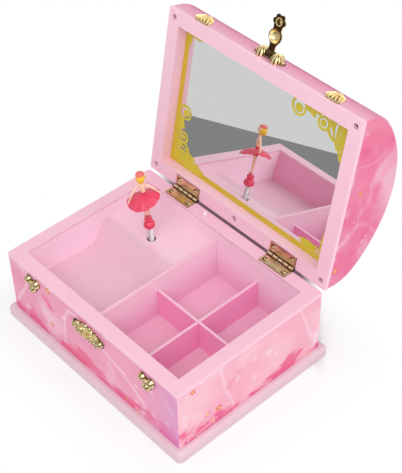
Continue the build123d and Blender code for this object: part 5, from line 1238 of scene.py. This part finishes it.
    def neck(self, shape, place, start, end):
        """Soft-edged strip of the flap between two places along it, dark behind as painted shade."""
        rings = []
        tones = []
        for share in shares(12):
            y = start + (end - start) * share
            half = self.neck_half + 0.95 * ease(-y, 5.6, 6.6)
            ring = []
            for a in spoke_angles(24):
                x = half * math.copysign(abs(math.cos(a)) ** 0.5, math.cos(a))
                z = self.neck_rise * math.copysign(abs(math.sin(a)) ** 0.5, math.sin(a))
                ring.append(Vector((x, y, z)))
                # Painted shade: the back half of the strip takes a dark tone.
                tones.append(1.0 if z > -0.4 else 0.0)
            rings.append(ring)
        shape.add(loft(rings), 0, place, tones)

    def boss_front(self, u, v, inside):
        """Dome over the flap."""
        dome = math.sqrt(max(self.dome_radius ** 2 - u * u - v * v, 0)) - self.boss_sink
        return max(dome, self.flap_half), 1.0

    def boss_back(self, u, v, inside):
        """Hollow behind the dome, with a fine rim round it."""
        r = math.hypot(u, v)
        bowl = math.sqrt(max(self.bowl_radius ** 2 - r * r, 0)) - self.boss_sink
        rim = 0.25 * bell(r, 4.5, 0.25)
        # Tone darkens at the bowl's edge and a little in its middle: painted shade in the hollow.
        tone = (0.62 + 0.38 * ease(r, 3.0, 3.9)) * (1.0 - 0.95 * ease(r, 4.3, 4.6))
        return max(bowl, -self.flap_half) - rim, tone

    def petal_front(self, u, v, inside):
        """Rounded petals round a small dome."""
        return max(self.flap_half + 0.35 * ease(inside, 0, 0.9), domed(u, v, (0, 0), 2.5, 2.9)), 0.9

    def petal_back(self, u, v, inside):
        """Flat petals round the cup that takes the catch's stud."""
        r = math.hypot(u, v)
        ring = bell(r, 2.35, 0.45)
        cup = ease(1.95 - r, 0, 0.25)
        # Tone is dark over the back petals, lighter on the ring and the cup: painted shade on the back.
        return -self.flap_half - 0.25 * ring + cup * 3.0, max(0.05 + 0.95 * ring, 0.55 * cup)


class MUSICBOX_OT_hinges(bpy.types.Operator):
    """Makes the hinges' stamped leaves and barrels"""
    bl_idname = "musicbox.hinges"
    bl_label = "Hinges"
    axis_rise = 0.95
    half_length = 12.0
    half_width = 3.92
    knuckle_count = 5
    knuckle_gap = 0.2
    knuckle_sides = 24
    strap_rise = 0.85
    screw_u = 8.4
    screw_v = -0.38
    seat_radius = 1.95

    def execute(self, context):
        brass = metal_finish("hinge_brass", linear(234, 202, 164), linear(82, 46, 34), 0.2, 0.7, toned=True)
        for side in ("left", "right"):
            low, high = node_box("hinge_box_leaf_" + side)
            middle = Vector(((low.x + high.x) / 2, low.y + self.half_width, LID_PIVOT.z))
            box_place = Matrix.Translation(middle - Vector((0, 0, self.axis_rise)))
            lid_place = Matrix.Translation(middle + Vector((0, 0, self.axis_rise))) @ turned(180, "Y")
            self.leaf("hinge_box_leaf_" + side, box_place, (0, 2, 4), brass, "case", STILL)
            self.leaf("hinge_lid_leaf_" + side, lid_place, (1, 3), brass, "lid", OPENED)
            dress(brass, "hinge_pin_" + side)
        return {"FINISHED"}

    def leaf(self, name, place, knuckles, brass, body, back):
        """Leaf in u along the barrel, v towards it and h up from its seat."""
        part, tones = stamped(box_outline(self.half_length, self.half_width, 9.0), self.leaf_height,
                              rings=30, spokes=220, edge=0.3)
        shape = Shape()
        shape.add(part, 0, place, tones)
        piece = 2 * self.half_length / self.knuckle_count
        barrel = LID_PIVOT.y - place.translation.y
        for i in knuckles:
            start = i * piece - self.half_length + self.knuckle_gap / 2
            end = start + piece - self.knuckle_gap
            stations = [start, start + 0.15, start + 0.45, end - 0.45, end - 0.15, end]
            path = [(u, barrel, self.axis_rise) for u in stations]
            # The knuckles darken towards their ends: painted shade in the gaps between them.
            tone = [t for t in (0.0, 0.1, 1.0, 1.0, 0.1, 0.0) for _ in range(self.knuckle_sides)]
            radii = [1.15, 1.35, 1.4, 1.4, 1.35, 1.15]
            shape.add(tube(path, radii, self.knuckle_sides), 0, place, tone)
            strap = []
            corners = ((start, 0.0), (end, 0.0), (end, self.strap_rise), (start, self.strap_rise))
            for v in (self.half_width - 0.7, barrel):
                strap.append([Vector((u, v, h)) for u, h in corners])
            # The strap under each knuckle takes a dark tone: painted shade.
            shape.add(loft(strap), 0, place, [0.1] * 8)
        build(name + "_plate", shape, [brass], body, [name], back)

    def leaf_height(self, u, v, inside):
        """Raised border, sunk field and seats for two screws."""
        border = ease(1.5 - inside, 0.0, 0.5)
        groove = bell(inside, 1.6, 0.3)
        seat = math.hypot(abs(u) - self.screw_u, v - self.screw_v)
        h = 0.68 + 0.22 * border
        h -= 0.45 * ease(self.seat_radius - seat, 0.0, 0.2)
        # Tone darkens in the groove, round the screw seats, at the outer edge and in a band by the barrel:
        # painted shade, the band a painted shadow of the barrel.
        dark = max(0.9 * groove, ease(self.seat_radius + 0.2 - seat, 0.0, 0.2), ease(v, 2.9, 3.4),
                   ease(0.35 - inside, 0.0, 0.3))
        return h, 1.0 - 0.95 * dark


def cross_head(radius, rise):
    """Screw head seen from its end: a low dome with a cross recess."""

    def height(u, v, inside):
        h = rise * math.sqrt(max(1 - 0.55 * (u * u + v * v) / radius ** 2, 0))
        arm = 0.17 * radius
        reach = 0.68 * radius
        bar = max(ease(arm - abs(u), -0.04, 0.04) * ease(reach - abs(v), -0.04, 0.04),
                  ease(arm - abs(v), -0.04, 0.04) * ease(reach - abs(u), -0.04, 0.04))
        # Tone darkens in the cross recess: painted shade.
        return h - 0.55 * rise * bar, 1.0 - 0.85 * bar

    return stamped(lobes_outline([(0, 0, radius)]), height, rings=20, spokes=64, edge=0.25 * radius)


def nail_head(radius, rise):
    """Domed head that stands on the plate it holds."""
    profile = []
    for share in shares(8):
        a = math.pi / 2 * share
        profile.append((max(radius * math.cos(a), 0.01), rise * math.sin(a)))
    return lathe([(radius, -0.3)] + profile, 24)


class MUSICBOX_OT_fasteners(bpy.types.Operator):
    """Makes the screws, nails and pins that show"""
    bl_idname = "musicbox.fasteners"
    bl_label = "Fasteners"
    nail_radius = 1.0
    nail_rise = 0.6

    def execute(self, context):
        steel = finish_of("plated_steel")
        brass = finish_of("stamped_brass")
        self.screws("hinge_box_screws", STILL, True, 1.7, 0.55, brass, "case")
        self.screws("hinge_lid_screws", CLOSED, False, 1.7, 0.55, brass, "lid")
        self.screws("lid_screws", CLOSED, False, 1.9, 1.1, steel, "lid")
        self.screws("base_screws", STILL, False, 2.4, 1.4, steel, "case")
        self.screws("movement_screws", STILL, False, 2.2, 1.1, steel, "case")
        self.nails("box_nails", STILL, FRONT_Y, brass, "case")
        self.nails("lid_nails", CLOSED, LID_FRONT_Y, brass, "lid")
        dress(finish_of("plain_steel"), "stop_lever", "comb_screws")
        dress(plastic_finish("pin_plastic", linear(248, 226, 234), 0.3), "rim_pins", "stop_pin")
        return {"FINISHED"}

    def screws(self, name, view, facing_up, radius, rise, finish, body):
        """Screw heads with shanks, in the places of the CAD node's solids."""
        shape = Shape()
        for low, high in solid_boxes(name, view):
            x = (low.x + high.x) / 2
            y = (low.y + high.y) / 2
            top = high.z if facing_up else low.z
            turn = STILL if facing_up else turned(180, "X")
            spin = turned((x * 37.0 + y * 11.0) % 90, "Z")
            part, tones = cross_head(radius, rise)
            seat = top - rise if facing_up else top + rise
            shape.add(part, 0, Matrix.Translation((x, y, seat)) @ turn @ spin, tones)
            tip = high.z - low.z - rise
            shank = [(0.45 * radius, -tip), (0.5 * radius, -tip + 0.6), (0.5 * radius, 0.0)]
            shape.add(lathe(shank, 20), 0, Matrix.Translation((x, y, seat)) @ turn)
        build(name + "_heads", shape, [finish], body, [name], view.inverted())

    def nails(self, name, view, y_wall, finish, body):
        """Domed nail heads with shanks, in the places of the CAD node's solids."""
        shape = Shape()
        for low, high in solid_boxes(name, view):
            x = (low.x + high.x) / 2
            z = (low.z + high.z) / 2
            place = on_front(x, z, y_wall)
            rise = y_wall - low.y
            seat = place @ Matrix.Translation((0, 0, rise - self.nail_rise))
            shape.add(nail_head(self.nail_radius, self.nail_rise), 0, seat)
            tip = high.y - y_wall
            shape.add(lathe([(0.2, -tip), (0.5, 0.8 - tip), (0.5, rise - 0.5)], 16), 0, place)
        build(name + "_heads", shape, [finish], body, [name], view.inverted())


class MUSICBOX_OT_spring(bpy.types.Operator):
    """Winds the dancer's spring on its bent axis"""
    bl_idname = "musicbox.spring"
    bl_label = "Spring"
    radius = 1.75
    half_height = 7.0
    end_length = 1.2
    turns = 15.5
    turn_steps = 28
    blend_start = 0.5
    blend_end = 13.5

    def execute(self, context):
        wire = context.scene.music_box_sizes.spring_wire
        radius = self.radius
        bend = self.half_height / math.tan(math.radians(DANCER_LEAN / 2))
        length = bend * math.radians(DANCER_LEAN)
        foot = Vector((SPIN_AT.x, SPIN_AT.y, node_box("dancer_spring")[0].z))
        toward = math.radians(DANCER_TOWARD)

        def on_axis(along, x, y):
            """Place beside the bent axis, at a length along it."""
            tip = DANCER_LEAN * along / length
            angle = math.radians(tip)
            out = bend * (1 - math.cos(angle))
            centre = Vector((out * math.cos(toward), out * math.sin(toward), bend * math.sin(angle)))
            return foot + centre + (leaned(tip) @ Vector((x, y, 0)))

        path = [on_axis(0.05, radius, -wire), on_axis(0.6, radius, -wire)]
        steps = int(self.turns * self.turn_steps)
        for share in shares(steps):
            a = 2 * math.pi * self.turns * share
            along = self.end_length + (length - 2 * self.end_length) * share
            path.append(on_axis(along, radius * math.cos(a), radius * math.sin(a)))
        x = radius * math.cos(a) - wire * math.sin(a)
        y = radius * math.sin(a) + wire * math.cos(a)
        path += [on_axis(length - 0.6, x, y), on_axis(length - 0.05, x, y)]
        shape = Shape()
        shape.add(tube(path, [wire / 2] * len(path), 10))
        bright = metal_finish("spring_steel", linear(232, 232, 234), linear(150, 150, 154), 0.16, 0.5)
        spring = build("spring_coil", shape, [bright], None, crease=60)
        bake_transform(spring)
        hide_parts("dancer_spring")
        return {"FINISHED"}


class MUSICBOX_OT_dancer(bpy.types.Operator):
    """Models the dancer, the pleated skirt and the pedestal"""
    bl_idname = "musicbox.dancer"
    bl_label = "Dancer"
    feet = 19.1
    hips = 34.5
    waist = 40.6
    skirt_inner = 1.6
    skirt_outer = 11.8
    skirt_shift = 1.5
    skirt_thickness = 0.75
    front_droop = 3.0
    back_droop = 2.6

    def execute(self, context):
        sizes = context.scene.music_box_sizes
        paints = [finish_of(name + "_paint") for name in ("skin", "crimson", "hair", "cap", "dark")]
        self.pedestal(paints[1])
        self.skirt(paints[1], sizes)
        self.figure(paints)
        return {"FINISHED"}

    def pedestal(self, crimson):
        """Turned stand: a ball below a waist and a rounded top."""
        ball = [(0.01, 11.0), (2.9, 11.0), (3.6, 11.25), (3.95, 12.0), (4.0, 12.9), (3.85, 13.9), (3.4, 14.9)]
        top = [(2.75, 15.6), (2.45, 16.1), (2.6, 16.9), (2.78, 17.6), (2.72, 18.3), (2.4, 18.85),
               (1.6, 19.08), (0.01, self.feet)]
        profile = smooth_path([(r, z, 0) for r, z in ball + top], 3)
        shape = Shape()
        shape.add(lathe([(p.x, p.y) for p in profile], 56))
        build("turning_stand", shape, [crimson], "dancer", ["dancer_pedestal"], ON_DANCER)

    def skirt(self, crimson, sizes):
        """Tilted, pleated disc whose hem hangs lower before and behind the dancer."""
        spokes = 182
        rows = 30
        waist = Matrix.Translation((0, 0, self.waist))
        tilt = waist @ turned(-SKIRT_TILT, "Y") @ waist.inverted()
        pleats = sizes.skirt_pleats

        def sheet(offset):
            rings = []
            for t in shares(rows):
                r = self.skirt_inner + (self.skirt_outer - self.skirt_inner) * t
                z = self.waist - 1.2 - 2.4 * t + 0.5 * math.sin(math.pi * t) - offset
                ring = []
                for a in spoke_angles(spokes):
                    wave = math.cos(pleats * a) + 0.35 * math.sin(2 * pleats * a + 1.0)
                    lift = sizes.skirt_wave * wave * ease(t, 0.1, 1.0)
                    droop = self.front_droop if math.sin(a) > 0 else self.back_droop
                    drop = droop * abs(math.sin(a)) * t * t
                    x = r * math.cos(a) - self.skirt_shift * t
                    ring.append(tilt @ Vector((x, r * math.sin(a), z + lift - drop)))
                rings.append(ring)
            return rings

        rings = sheet(0.0) + list(reversed(sheet(self.skirt_thickness)))
        verts, faces = loft(rings, False, False)
        shape = Shape()
        tones = [1.0] * (len(verts) // 2) + [0.3] * (len(verts) // 2)
        shape.add((verts, faces), 0, STILL, tones)
        build("pleated_skirt", shape, [crimson], "dancer", ["dancer_skirt"], ON_DANCER, 60)

    def figure(self, paints):
        """Legs, shoes, torso, neck, arms and head, painted in five colours."""
        skin, crimson, hair, cap, dark = range(5)
        feet = self.feet
        hips = self.hips
        shape = Shape()
        for side in (-1, 1):
            leg = smooth_path([(side * 1.25, 0.1, feet), (side * 1.25, 0, 22.6), (side * 1.3, -0.12, 26.0),
                               (side * 1.3, 0.05, 29.4), (side * 1.25, 0, hips)], 6)
            radii = []
            for point in leg:
                t = (point.z - feet) / (hips - feet)
                radii.append(0.72 + 0.55 * t + 0.22 * bell(t, 0.42, 0.13))
            shape.add(tube(leg, radii, 20), skin)
            shoe = smooth_path([(side * 1.3, 1.2, feet + 0.3), (side * 1.28, 0.6, feet + 0.6),
                                (side * 1.25, 0, feet + 1.2), (side * 1.25, -0.15, feet + 2.2)], 6)
            radii = [0.45 + 0.5 * math.sin(math.pi * (0.2 + 0.65 * t)) for t in shares_of(shoe)]
            shape.add(tube(shoe, radii, 18), crimson)
        trunk = [(1.9, 1.75, 33.5), (2.0, 1.85, 36.0), (1.75, 1.6, 40.0), (1.72, 1.5, 41.2)]
        chest = [(1.95, 1.65, 43.0), (2.3, 1.8, 45.0), (2.7, 1.6, 46.8), (2.6, 1.35, 47.6), (1.7, 1.1, 48.5),
                 (1.1, 1.05, 49.2)]
        ring_path = smooth_path(trunk + chest, 5)
        split = next(i for i, p in enumerate(ring_path) if p.z > 41.0)
        body = [self.bust(p) for p in ring_path]
        shape.add(loft(body[:split + 1], True, False), crimson)
        shape.add(loft(body[split:], False, True), skin)
        shape.add(loft([circle((0, -0.1), 1.05, 1.0, 24, 48.6), circle((0, 0), 0.95, 0.95, 24, 50.0),
                        circle((0, 0.1), 1.1, 1.1, 24, 51.6)]), skin)
        self.arms(shape, skin)
        self.head(shape, skin, hair, cap, dark, crimson)
        build("painted_dancer", shape, paints, "dancer", ["dancer_figure"], ON_DANCER, 50)

    def bust(self, p):
        """Ring of the torso from its half width, half depth and height."""
        ring = []
        for v in circle((0, 0), p.x, p.y, 36, p.z):
            front = max(v.y, 0) / p.y
            swell = 0.35 * bell(p.z, 44.6, 1.1) * front
            ring.append(Vector((v.x, v.y + swell, v.z)))
        return ring

    def arms(self, shape, skin):
        """Lowered arms with hands and thumbs."""
        left = Vector((-10.9, -3.6, 34.3))
        right = Vector((11.2, -1.6, 40.2))
        for side, hand, bow in ((-1, left, 0.7), (1, right, 0.5)):
            shoulder = Vector((side * 2.1, 0, 46.9))
            bends = []
            for t in shares(4):
                lift = bow * math.sin(math.pi * t)
                bends.append(shoulder.lerp(hand, t) + Vector((side * lift, -0.6 * lift, lift)))
            arm = smooth_path(bends, 7)
            radii = [0.92 - 0.36 * t + 0.08 * math.sin(2 * math.pi * t) for t in shares_of(arm)]
            shape.add(tube(arm, radii, 18), skin)
            shape.add(egg(shoulder, (0.98, 0.95, 0.9), 12, 18), skin)
            shape.add(egg(hand, (0.68, 0.5, 0.75), 12, 16), skin)
            bends = ((0.3, 0.2), (0.65, -0.1), (0.75, -0.3))
            thumb = [hand + Vector((-0.3 * side, y, z)) for y, z in bends]
            shape.add(tube(thumb, [0.25, 0.22, 0.15], 10), skin)

    def head(self, shape, skin, hair, cap, dark, crimson):
        """Head with a plain face, hair and a ribbed cap."""
        centre = (0, 0, 54.1)

        def skull(unit):
            chin = max(-unit.z, 0)
            return Vector((unit.x * (1 - 0.22 * chin), unit.y * (1 - 0.1 * chin) + 0.08 * chin, unit.z))

        shape.add(egg(centre, (2.95, 3.1, 3.4), 26, 36, skull), skin)

        def swept(unit):
            wave = 1 + 0.018 * math.sin(22 * math.atan2(unit.x, -unit.y + 0.2))
            return unit * wave

        shape.add(egg((0, -0.6, 53.8), (3.15, 2.95, 3.9), 26, 72, swept), hair)
        shape.add(egg((0, -2.5, 52.9), (2.6, 1.6, 3.2), 18, 48, swept), hair)

        def ribbed(unit):
            wave = 1 + 0.025 * math.cos(16 * math.atan2(unit.y, unit.x))
            return Vector((unit.x * wave, unit.y * wave, unit.z))

        shape.add(egg((0, -0.75, 56.0), (2.95, 3.1, 1.7), 18, 64, ribbed), cap)
        shape.add(egg((0, -0.4, 57.45), (0.5, 0.5, 0.3), 10, 16), cap)
        for side in (-1, 1):
            shape.add(egg((side * 1.05, 2.78, 54.3), (0.3, 0.16, 0.22), 10, 16), dark)
            brow = [(side * 0.7, 2.85, 54.95), (side * 1.1, 2.74, 55.05), (side * 1.5, 2.52, 54.9)]
            shape.add(tube(brow, [0.05, 0.08, 0.05], 8), dark)
            shape.add(egg((side * 2.9, 0.2, 53.9), (0.3, 0.5, 0.7), 10, 14), skin)
        shape.add(egg((0, 3.12, 53.6), (0.22, 0.25, 0.35), 10, 14), skin)
        shape.add(egg((0, 2.85, 52.65), (0.5, 0.16, 0.14), 10, 16), crimson)


class MUSICBOX_OT_movement(bpy.types.Operator):
    """Finishes the movement under the stage and the winding key"""
    bl_idname = "musicbox.movement"
    bl_label = "Movement"

    def execute(self, context):
        look = context.scene.music_box_colours
        cast = metal_finish("cast_iron", linear(150, 150, 152), linear(70, 70, 72), 0.5, 0.4, 0.25)
        blued = metal_finish("spring_strip", linear(150, 158, 172), linear(60, 70, 92), 0.26, 1.6)
        gear = metal_finish("gear_brass", linear(222, 188, 104), look.shade_and_tarnish, 0.26, 1.4)
        plated = metal_finish("key_plate", linear(206, 200, 188), linear(96, 88, 74), 0.22, 1.2)
        steel = finish_of("plain_steel")
        dress(cast, "bedplate", "comb_block")
        dress(blued, "mainspring", "click_spring")
        dress(gear, "tune_cylinder", "cylinder_gear", "governor_wheel")
        dress(plated, "winding_key")
        dress(steel, "spring_barrel", "barrel_cover", "winding_arbor", "ratchet_wheel", "comb",
              "worm_shaft", "bridge_pillars", "barrel_bracket", "governor_bracket", "cylinder_bridge")
        dress(metal_finish("blackened_steel", linear(58, 54, 54), linear(26, 24, 24), 0.4), "spindle")
        dress(plastic_finish("fly_plastic", linear(52, 52, 56), 0.42, 0.1), "fly")
        return {"FINISHED"}


CORNERS = ((-1, -1), (1, -1), (1, 1), (-1, 1))


class MUSICBOX_OT_stage(bpy.types.Operator):
    """Sets the camera, floor, world and lamps"""
    bl_idname = "musicbox.stage"
    bl_label = "Stage"
    shadow_reach = 0.045
    shade_lean = 1.09
    floor_white = (0.92, 0.92, 0.92, 1)
    # Painted shade: colour laid on the floor behind the box.
    floor_shade = (0.28, 0.19, 0.225, 1)
    lamp_aim = Vector((0, 0, 0.06))
    card_gap = 0.06
    card_rise = 0.0005
    card_edge = -0.37
    card_half = 0.8
    dark_half = 0.45

    def execute(self, context):
        stage = context.scene.music_box_stage
        context.scene.view_settings.view_transform = "Standard"
        self.camera(context)
        self.floor(stage)
        self.world(context, stage)
        self.lamp("key_lamp", (0.42, -0.62, 1.05), 0.9, stage.key_power)
        self.lamp("side_lamp", (1.1, 0.1, 0.9), 0.9, stage.side_power)
        self.cards(stage)
        return {"FINISHED"}

    def camera(self, context):
        """Camera fitted to the straight edges of the box and lid."""
        place = Vector((0.442267, -0.355453, 0.623727))
        turn = math.radians(47.58)
        tilt = math.radians(43.161)
        roll = math.radians(-0.782)
        right = Vector((math.cos(turn), math.sin(turn), 0))
        back = Vector((math.sin(turn) * math.cos(tilt), -math.cos(turn) * math.cos(tilt), math.sin(tilt)))
        up = back.cross(right)
        level = right * math.cos(roll) + up * math.sin(roll)
        upright = up * math.cos(roll) - right * math.sin(roll)
        data = bpy.data.cameras.new("photo_camera")
        data.sensor_width = 36.0
        data.lens = 93.443
        data.shift_x = -0.0330
        data.shift_y = -0.0066
        data.clip_start = 0.01
        camera = bpy.data.objects.new("photo_camera", data)
        axes = Matrix((level, upright, back)).transposed().to_4x4()
        camera.matrix_world = Matrix.Translation(place) @ axes
        context.scene.collection.objects.link(camera)
        context.scene.camera = camera

    def seen_rays(self, tree):
        """1 for the rays that show the background: camera, glossy and transmission."""
        path = tree.nodes.new("ShaderNodeLightPath").outputs
        seen = calc(tree, "MAXIMUM", path["Is Camera Ray"], path["Is Glossy Ray"])
        return calc(tree, "MAXIMUM", seen, path["Is Transmission Ray"])

    def panel(self, name, points):
        """Flat piece of the stage."""
        mesh = bpy.data.meshes.new(name)
        mesh.from_pydata(points, [], [tuple(range(len(points)))])
        piece = bpy.data.objects.new(name, mesh)
        bpy.context.scene.collection.objects.link(piece)
        return piece

    def floor(self, stage):
        """White floor with the box's shadow, and a soft painted shade behind the box, under the open lid."""
        half = stage.floor_half
        floor = self.panel("floor", [(x * half, y * half, 0) for x, y in CORNERS])
        material = bpy.data.materials.new("white_floor")
        tree = empty_tree(material)
        matt = node(tree, "ShaderNodeBsdfDiffuse")
        white = node(tree, "ShaderNodeEmission", {"Color": (1, 1, 1, 1), "Strength": 1.0}).outputs[0]
        spot = split_xyz(tree, tree.nodes.new("ShaderNodeTexCoord").outputs["Object"])
        base_low, base_high = (corner * MM for corner in node_box("base_plinth"))
        squares = []
        for i in range(2):
            gap = calc(tree, "SUBTRACT", calc(tree, "ABSOLUTE", spot[i]), base_high[i])
            gap = calc(tree, "MAXIMUM", gap, 0.0)
            squares.append(calc(tree, "MULTIPLY", gap, gap))
        away = calc(tree, "SQRT", calc(tree, "ADD", *squares))
        glow = step(tree, away, 0.0, self.shadow_reach, stage.floor_glow, 1.0)
        # Painted shade: a soft patch behind the box, leaning left further back, darkens the floor's colour;
        # its white is taken out there too, so the real shadow also shows.
        behind = calc(tree, "SUBTRACT", spot[1], base_high.y)
        lean = calc(tree, "MULTIPLY_ADD", behind, self.shade_lean, spot[0])
        ramps = (step(tree, lean, base_low.x - 0.004, base_low.x + 0.022),
                 step(tree, lean, base_high.x - 0.022, base_high.x + 0.002, 1.0, 0.0),
                 step(tree, behind, -0.02, -0.004),
                 step(tree, behind, 0.046, 0.105, 1.0, 0.0))
        under = ramps[0]
        for ramp in ramps[1:]:
            under = calc(tree, "MULTIPLY", under, ramp)
        glow = calc(tree, "MULTIPLY", glow, calc(tree, "SUBTRACT", 1.0, under))
        tree.links.new(blend_colour(tree, under, self.floor_white, self.floor_shade), matt.inputs["Color"])
        share = calc(tree, "MULTIPLY", self.seen_rays(tree), glow)
        mixed = node(tree, "ShaderNodeMixShader", {0: share, 1: matt.outputs[0], 2: white}).outputs[0]
        node(tree, "ShaderNodeOutputMaterial", {0: mixed})
        floor.data.materials.append(material)

    def world(self, context, stage):
        """White surroundings that light the box softly."""
        world = bpy.data.worlds.new("studio")
        tree = empty_tree(world)
        strength = calc(tree, "MULTIPLY_ADD", self.seen_rays(tree), 1.0 - stage.fill, stage.fill)
        air = node(tree, "ShaderNodeBackground", {"Color": (1, 1, 1, 1), "Strength": strength}).outputs[0]
        node(tree, "ShaderNodeOutputWorld", {0: air})
        context.scene.world = world

    def lamp(self, name, place, size, power):
        """Square lamp that looks at the box."""
        data = bpy.data.lights.new(name, "AREA")
        data.size = size
        data.energy = power
        lamp = bpy.data.objects.new(name, data)
        place = Vector(place)
        turn = (place - self.lamp_aim).to_track_quat("Z", "Y").to_matrix().to_4x4()
        lamp.matrix_world = Matrix.Translation(place) @ turn
        bpy.context.scene.collection.objects.link(lamp)

    def cards(self, stage):
        """Grey table, grey wall and dark card that only glossy surfaces see."""
        beside = SHELL_LOW.x * MM - self.card_gap
        before = SHELL_LOW.y * MM - self.card_gap
        half = self.card_half
        left = self.card_edge - half
        right = self.card_edge + half
        near = [(left, half, 0), (right, -half, 0), (right, before, 0), (beside, before, 0),
                (beside, half, 0)]
        wall = [(left, half, 0), (right, -half, 0), (right, -half, 1.0), (left, half, 1.0)]
        view = bpy.context.scene.camera.matrix_world
        behind = [view @ Vector((x * self.dark_half, y * self.dark_half, 1.0)) for x, y in CORNERS]
        for name, points, grey in (("table_card", near, stage.near_card),
                                   ("wall_card", wall, stage.far_card),
                                   ("dark_card", behind, stage.dark_card)):
            card = self.panel(name, [(x, y, z + self.card_rise) for x, y, z in points])
            material = bpy.data.materials.new(name)
            tree = empty_tree(material)
            glow = node(tree, "ShaderNodeEmission", {"Color": (grey, grey, grey * 0.985, 1)}).outputs[0]
            node(tree, "ShaderNodeOutputMaterial", {0: glow})
            card.data.materials.append(material)
            card.visible_camera = False
            card.visible_diffuse = False
            card.visible_shadow = False
            card.visible_transmission = False


OPERATORS = (MUSICBOX_OT_finishes, MUSICBOX_OT_case, MUSICBOX_OT_print, MUSICBOX_OT_mirror,
             MUSICBOX_OT_box_trim, MUSICBOX_OT_lid_trim, MUSICBOX_OT_hinges, MUSICBOX_OT_fasteners,
             MUSICBOX_OT_spring, MUSICBOX_OT_dancer, MUSICBOX_OT_movement, MUSICBOX_OT_stage)


class MUSICBOX_PT_panel(bpy.types.Panel):
    """Lists the steps that dress the music box"""
    bl_idname = "MUSICBOX_PT_panel"
    bl_label = "Music box"
    bl_space_type = "VIEW_3D"
    bl_region_type = "UI"
    bl_category = "Music box"

    def draw(self, context):
        for operator in OPERATORS:
            self.layout.operator(operator.bl_idname)
        scene = context.scene
        for group in (scene.music_box_colours, scene.music_box_sizes, scene.music_box_stage):
            for name in group.__annotations__:
                self.layout.prop(group, name)


CLASSES = (MusicBoxColours, MusicBoxSizes, MusicBoxStage, *OPERATORS, MUSICBOX_PT_panel)


def register():
    for cls in CLASSES:
        bpy.utils.register_class(cls)
    bpy.types.Scene.music_box_colours = PointerProperty(type=MusicBoxColours)
    bpy.types.Scene.music_box_sizes = PointerProperty(type=MusicBoxSizes)
    bpy.types.Scene.music_box_stage = PointerProperty(type=MusicBoxStage)


def unregister():
    del bpy.types.Scene.music_box_stage
    del bpy.types.Scene.music_box_sizes
    del bpy.types.Scene.music_box_colours
    for cls in reversed(CLASSES):
        bpy.utils.unregister_class(cls)


def main():
    register()
    for operator in OPERATORS:
        group, name = operator.bl_idname.split(".")
        getattr(getattr(bpy.ops, group), name)()


if __name__ == "__main__":
    main()
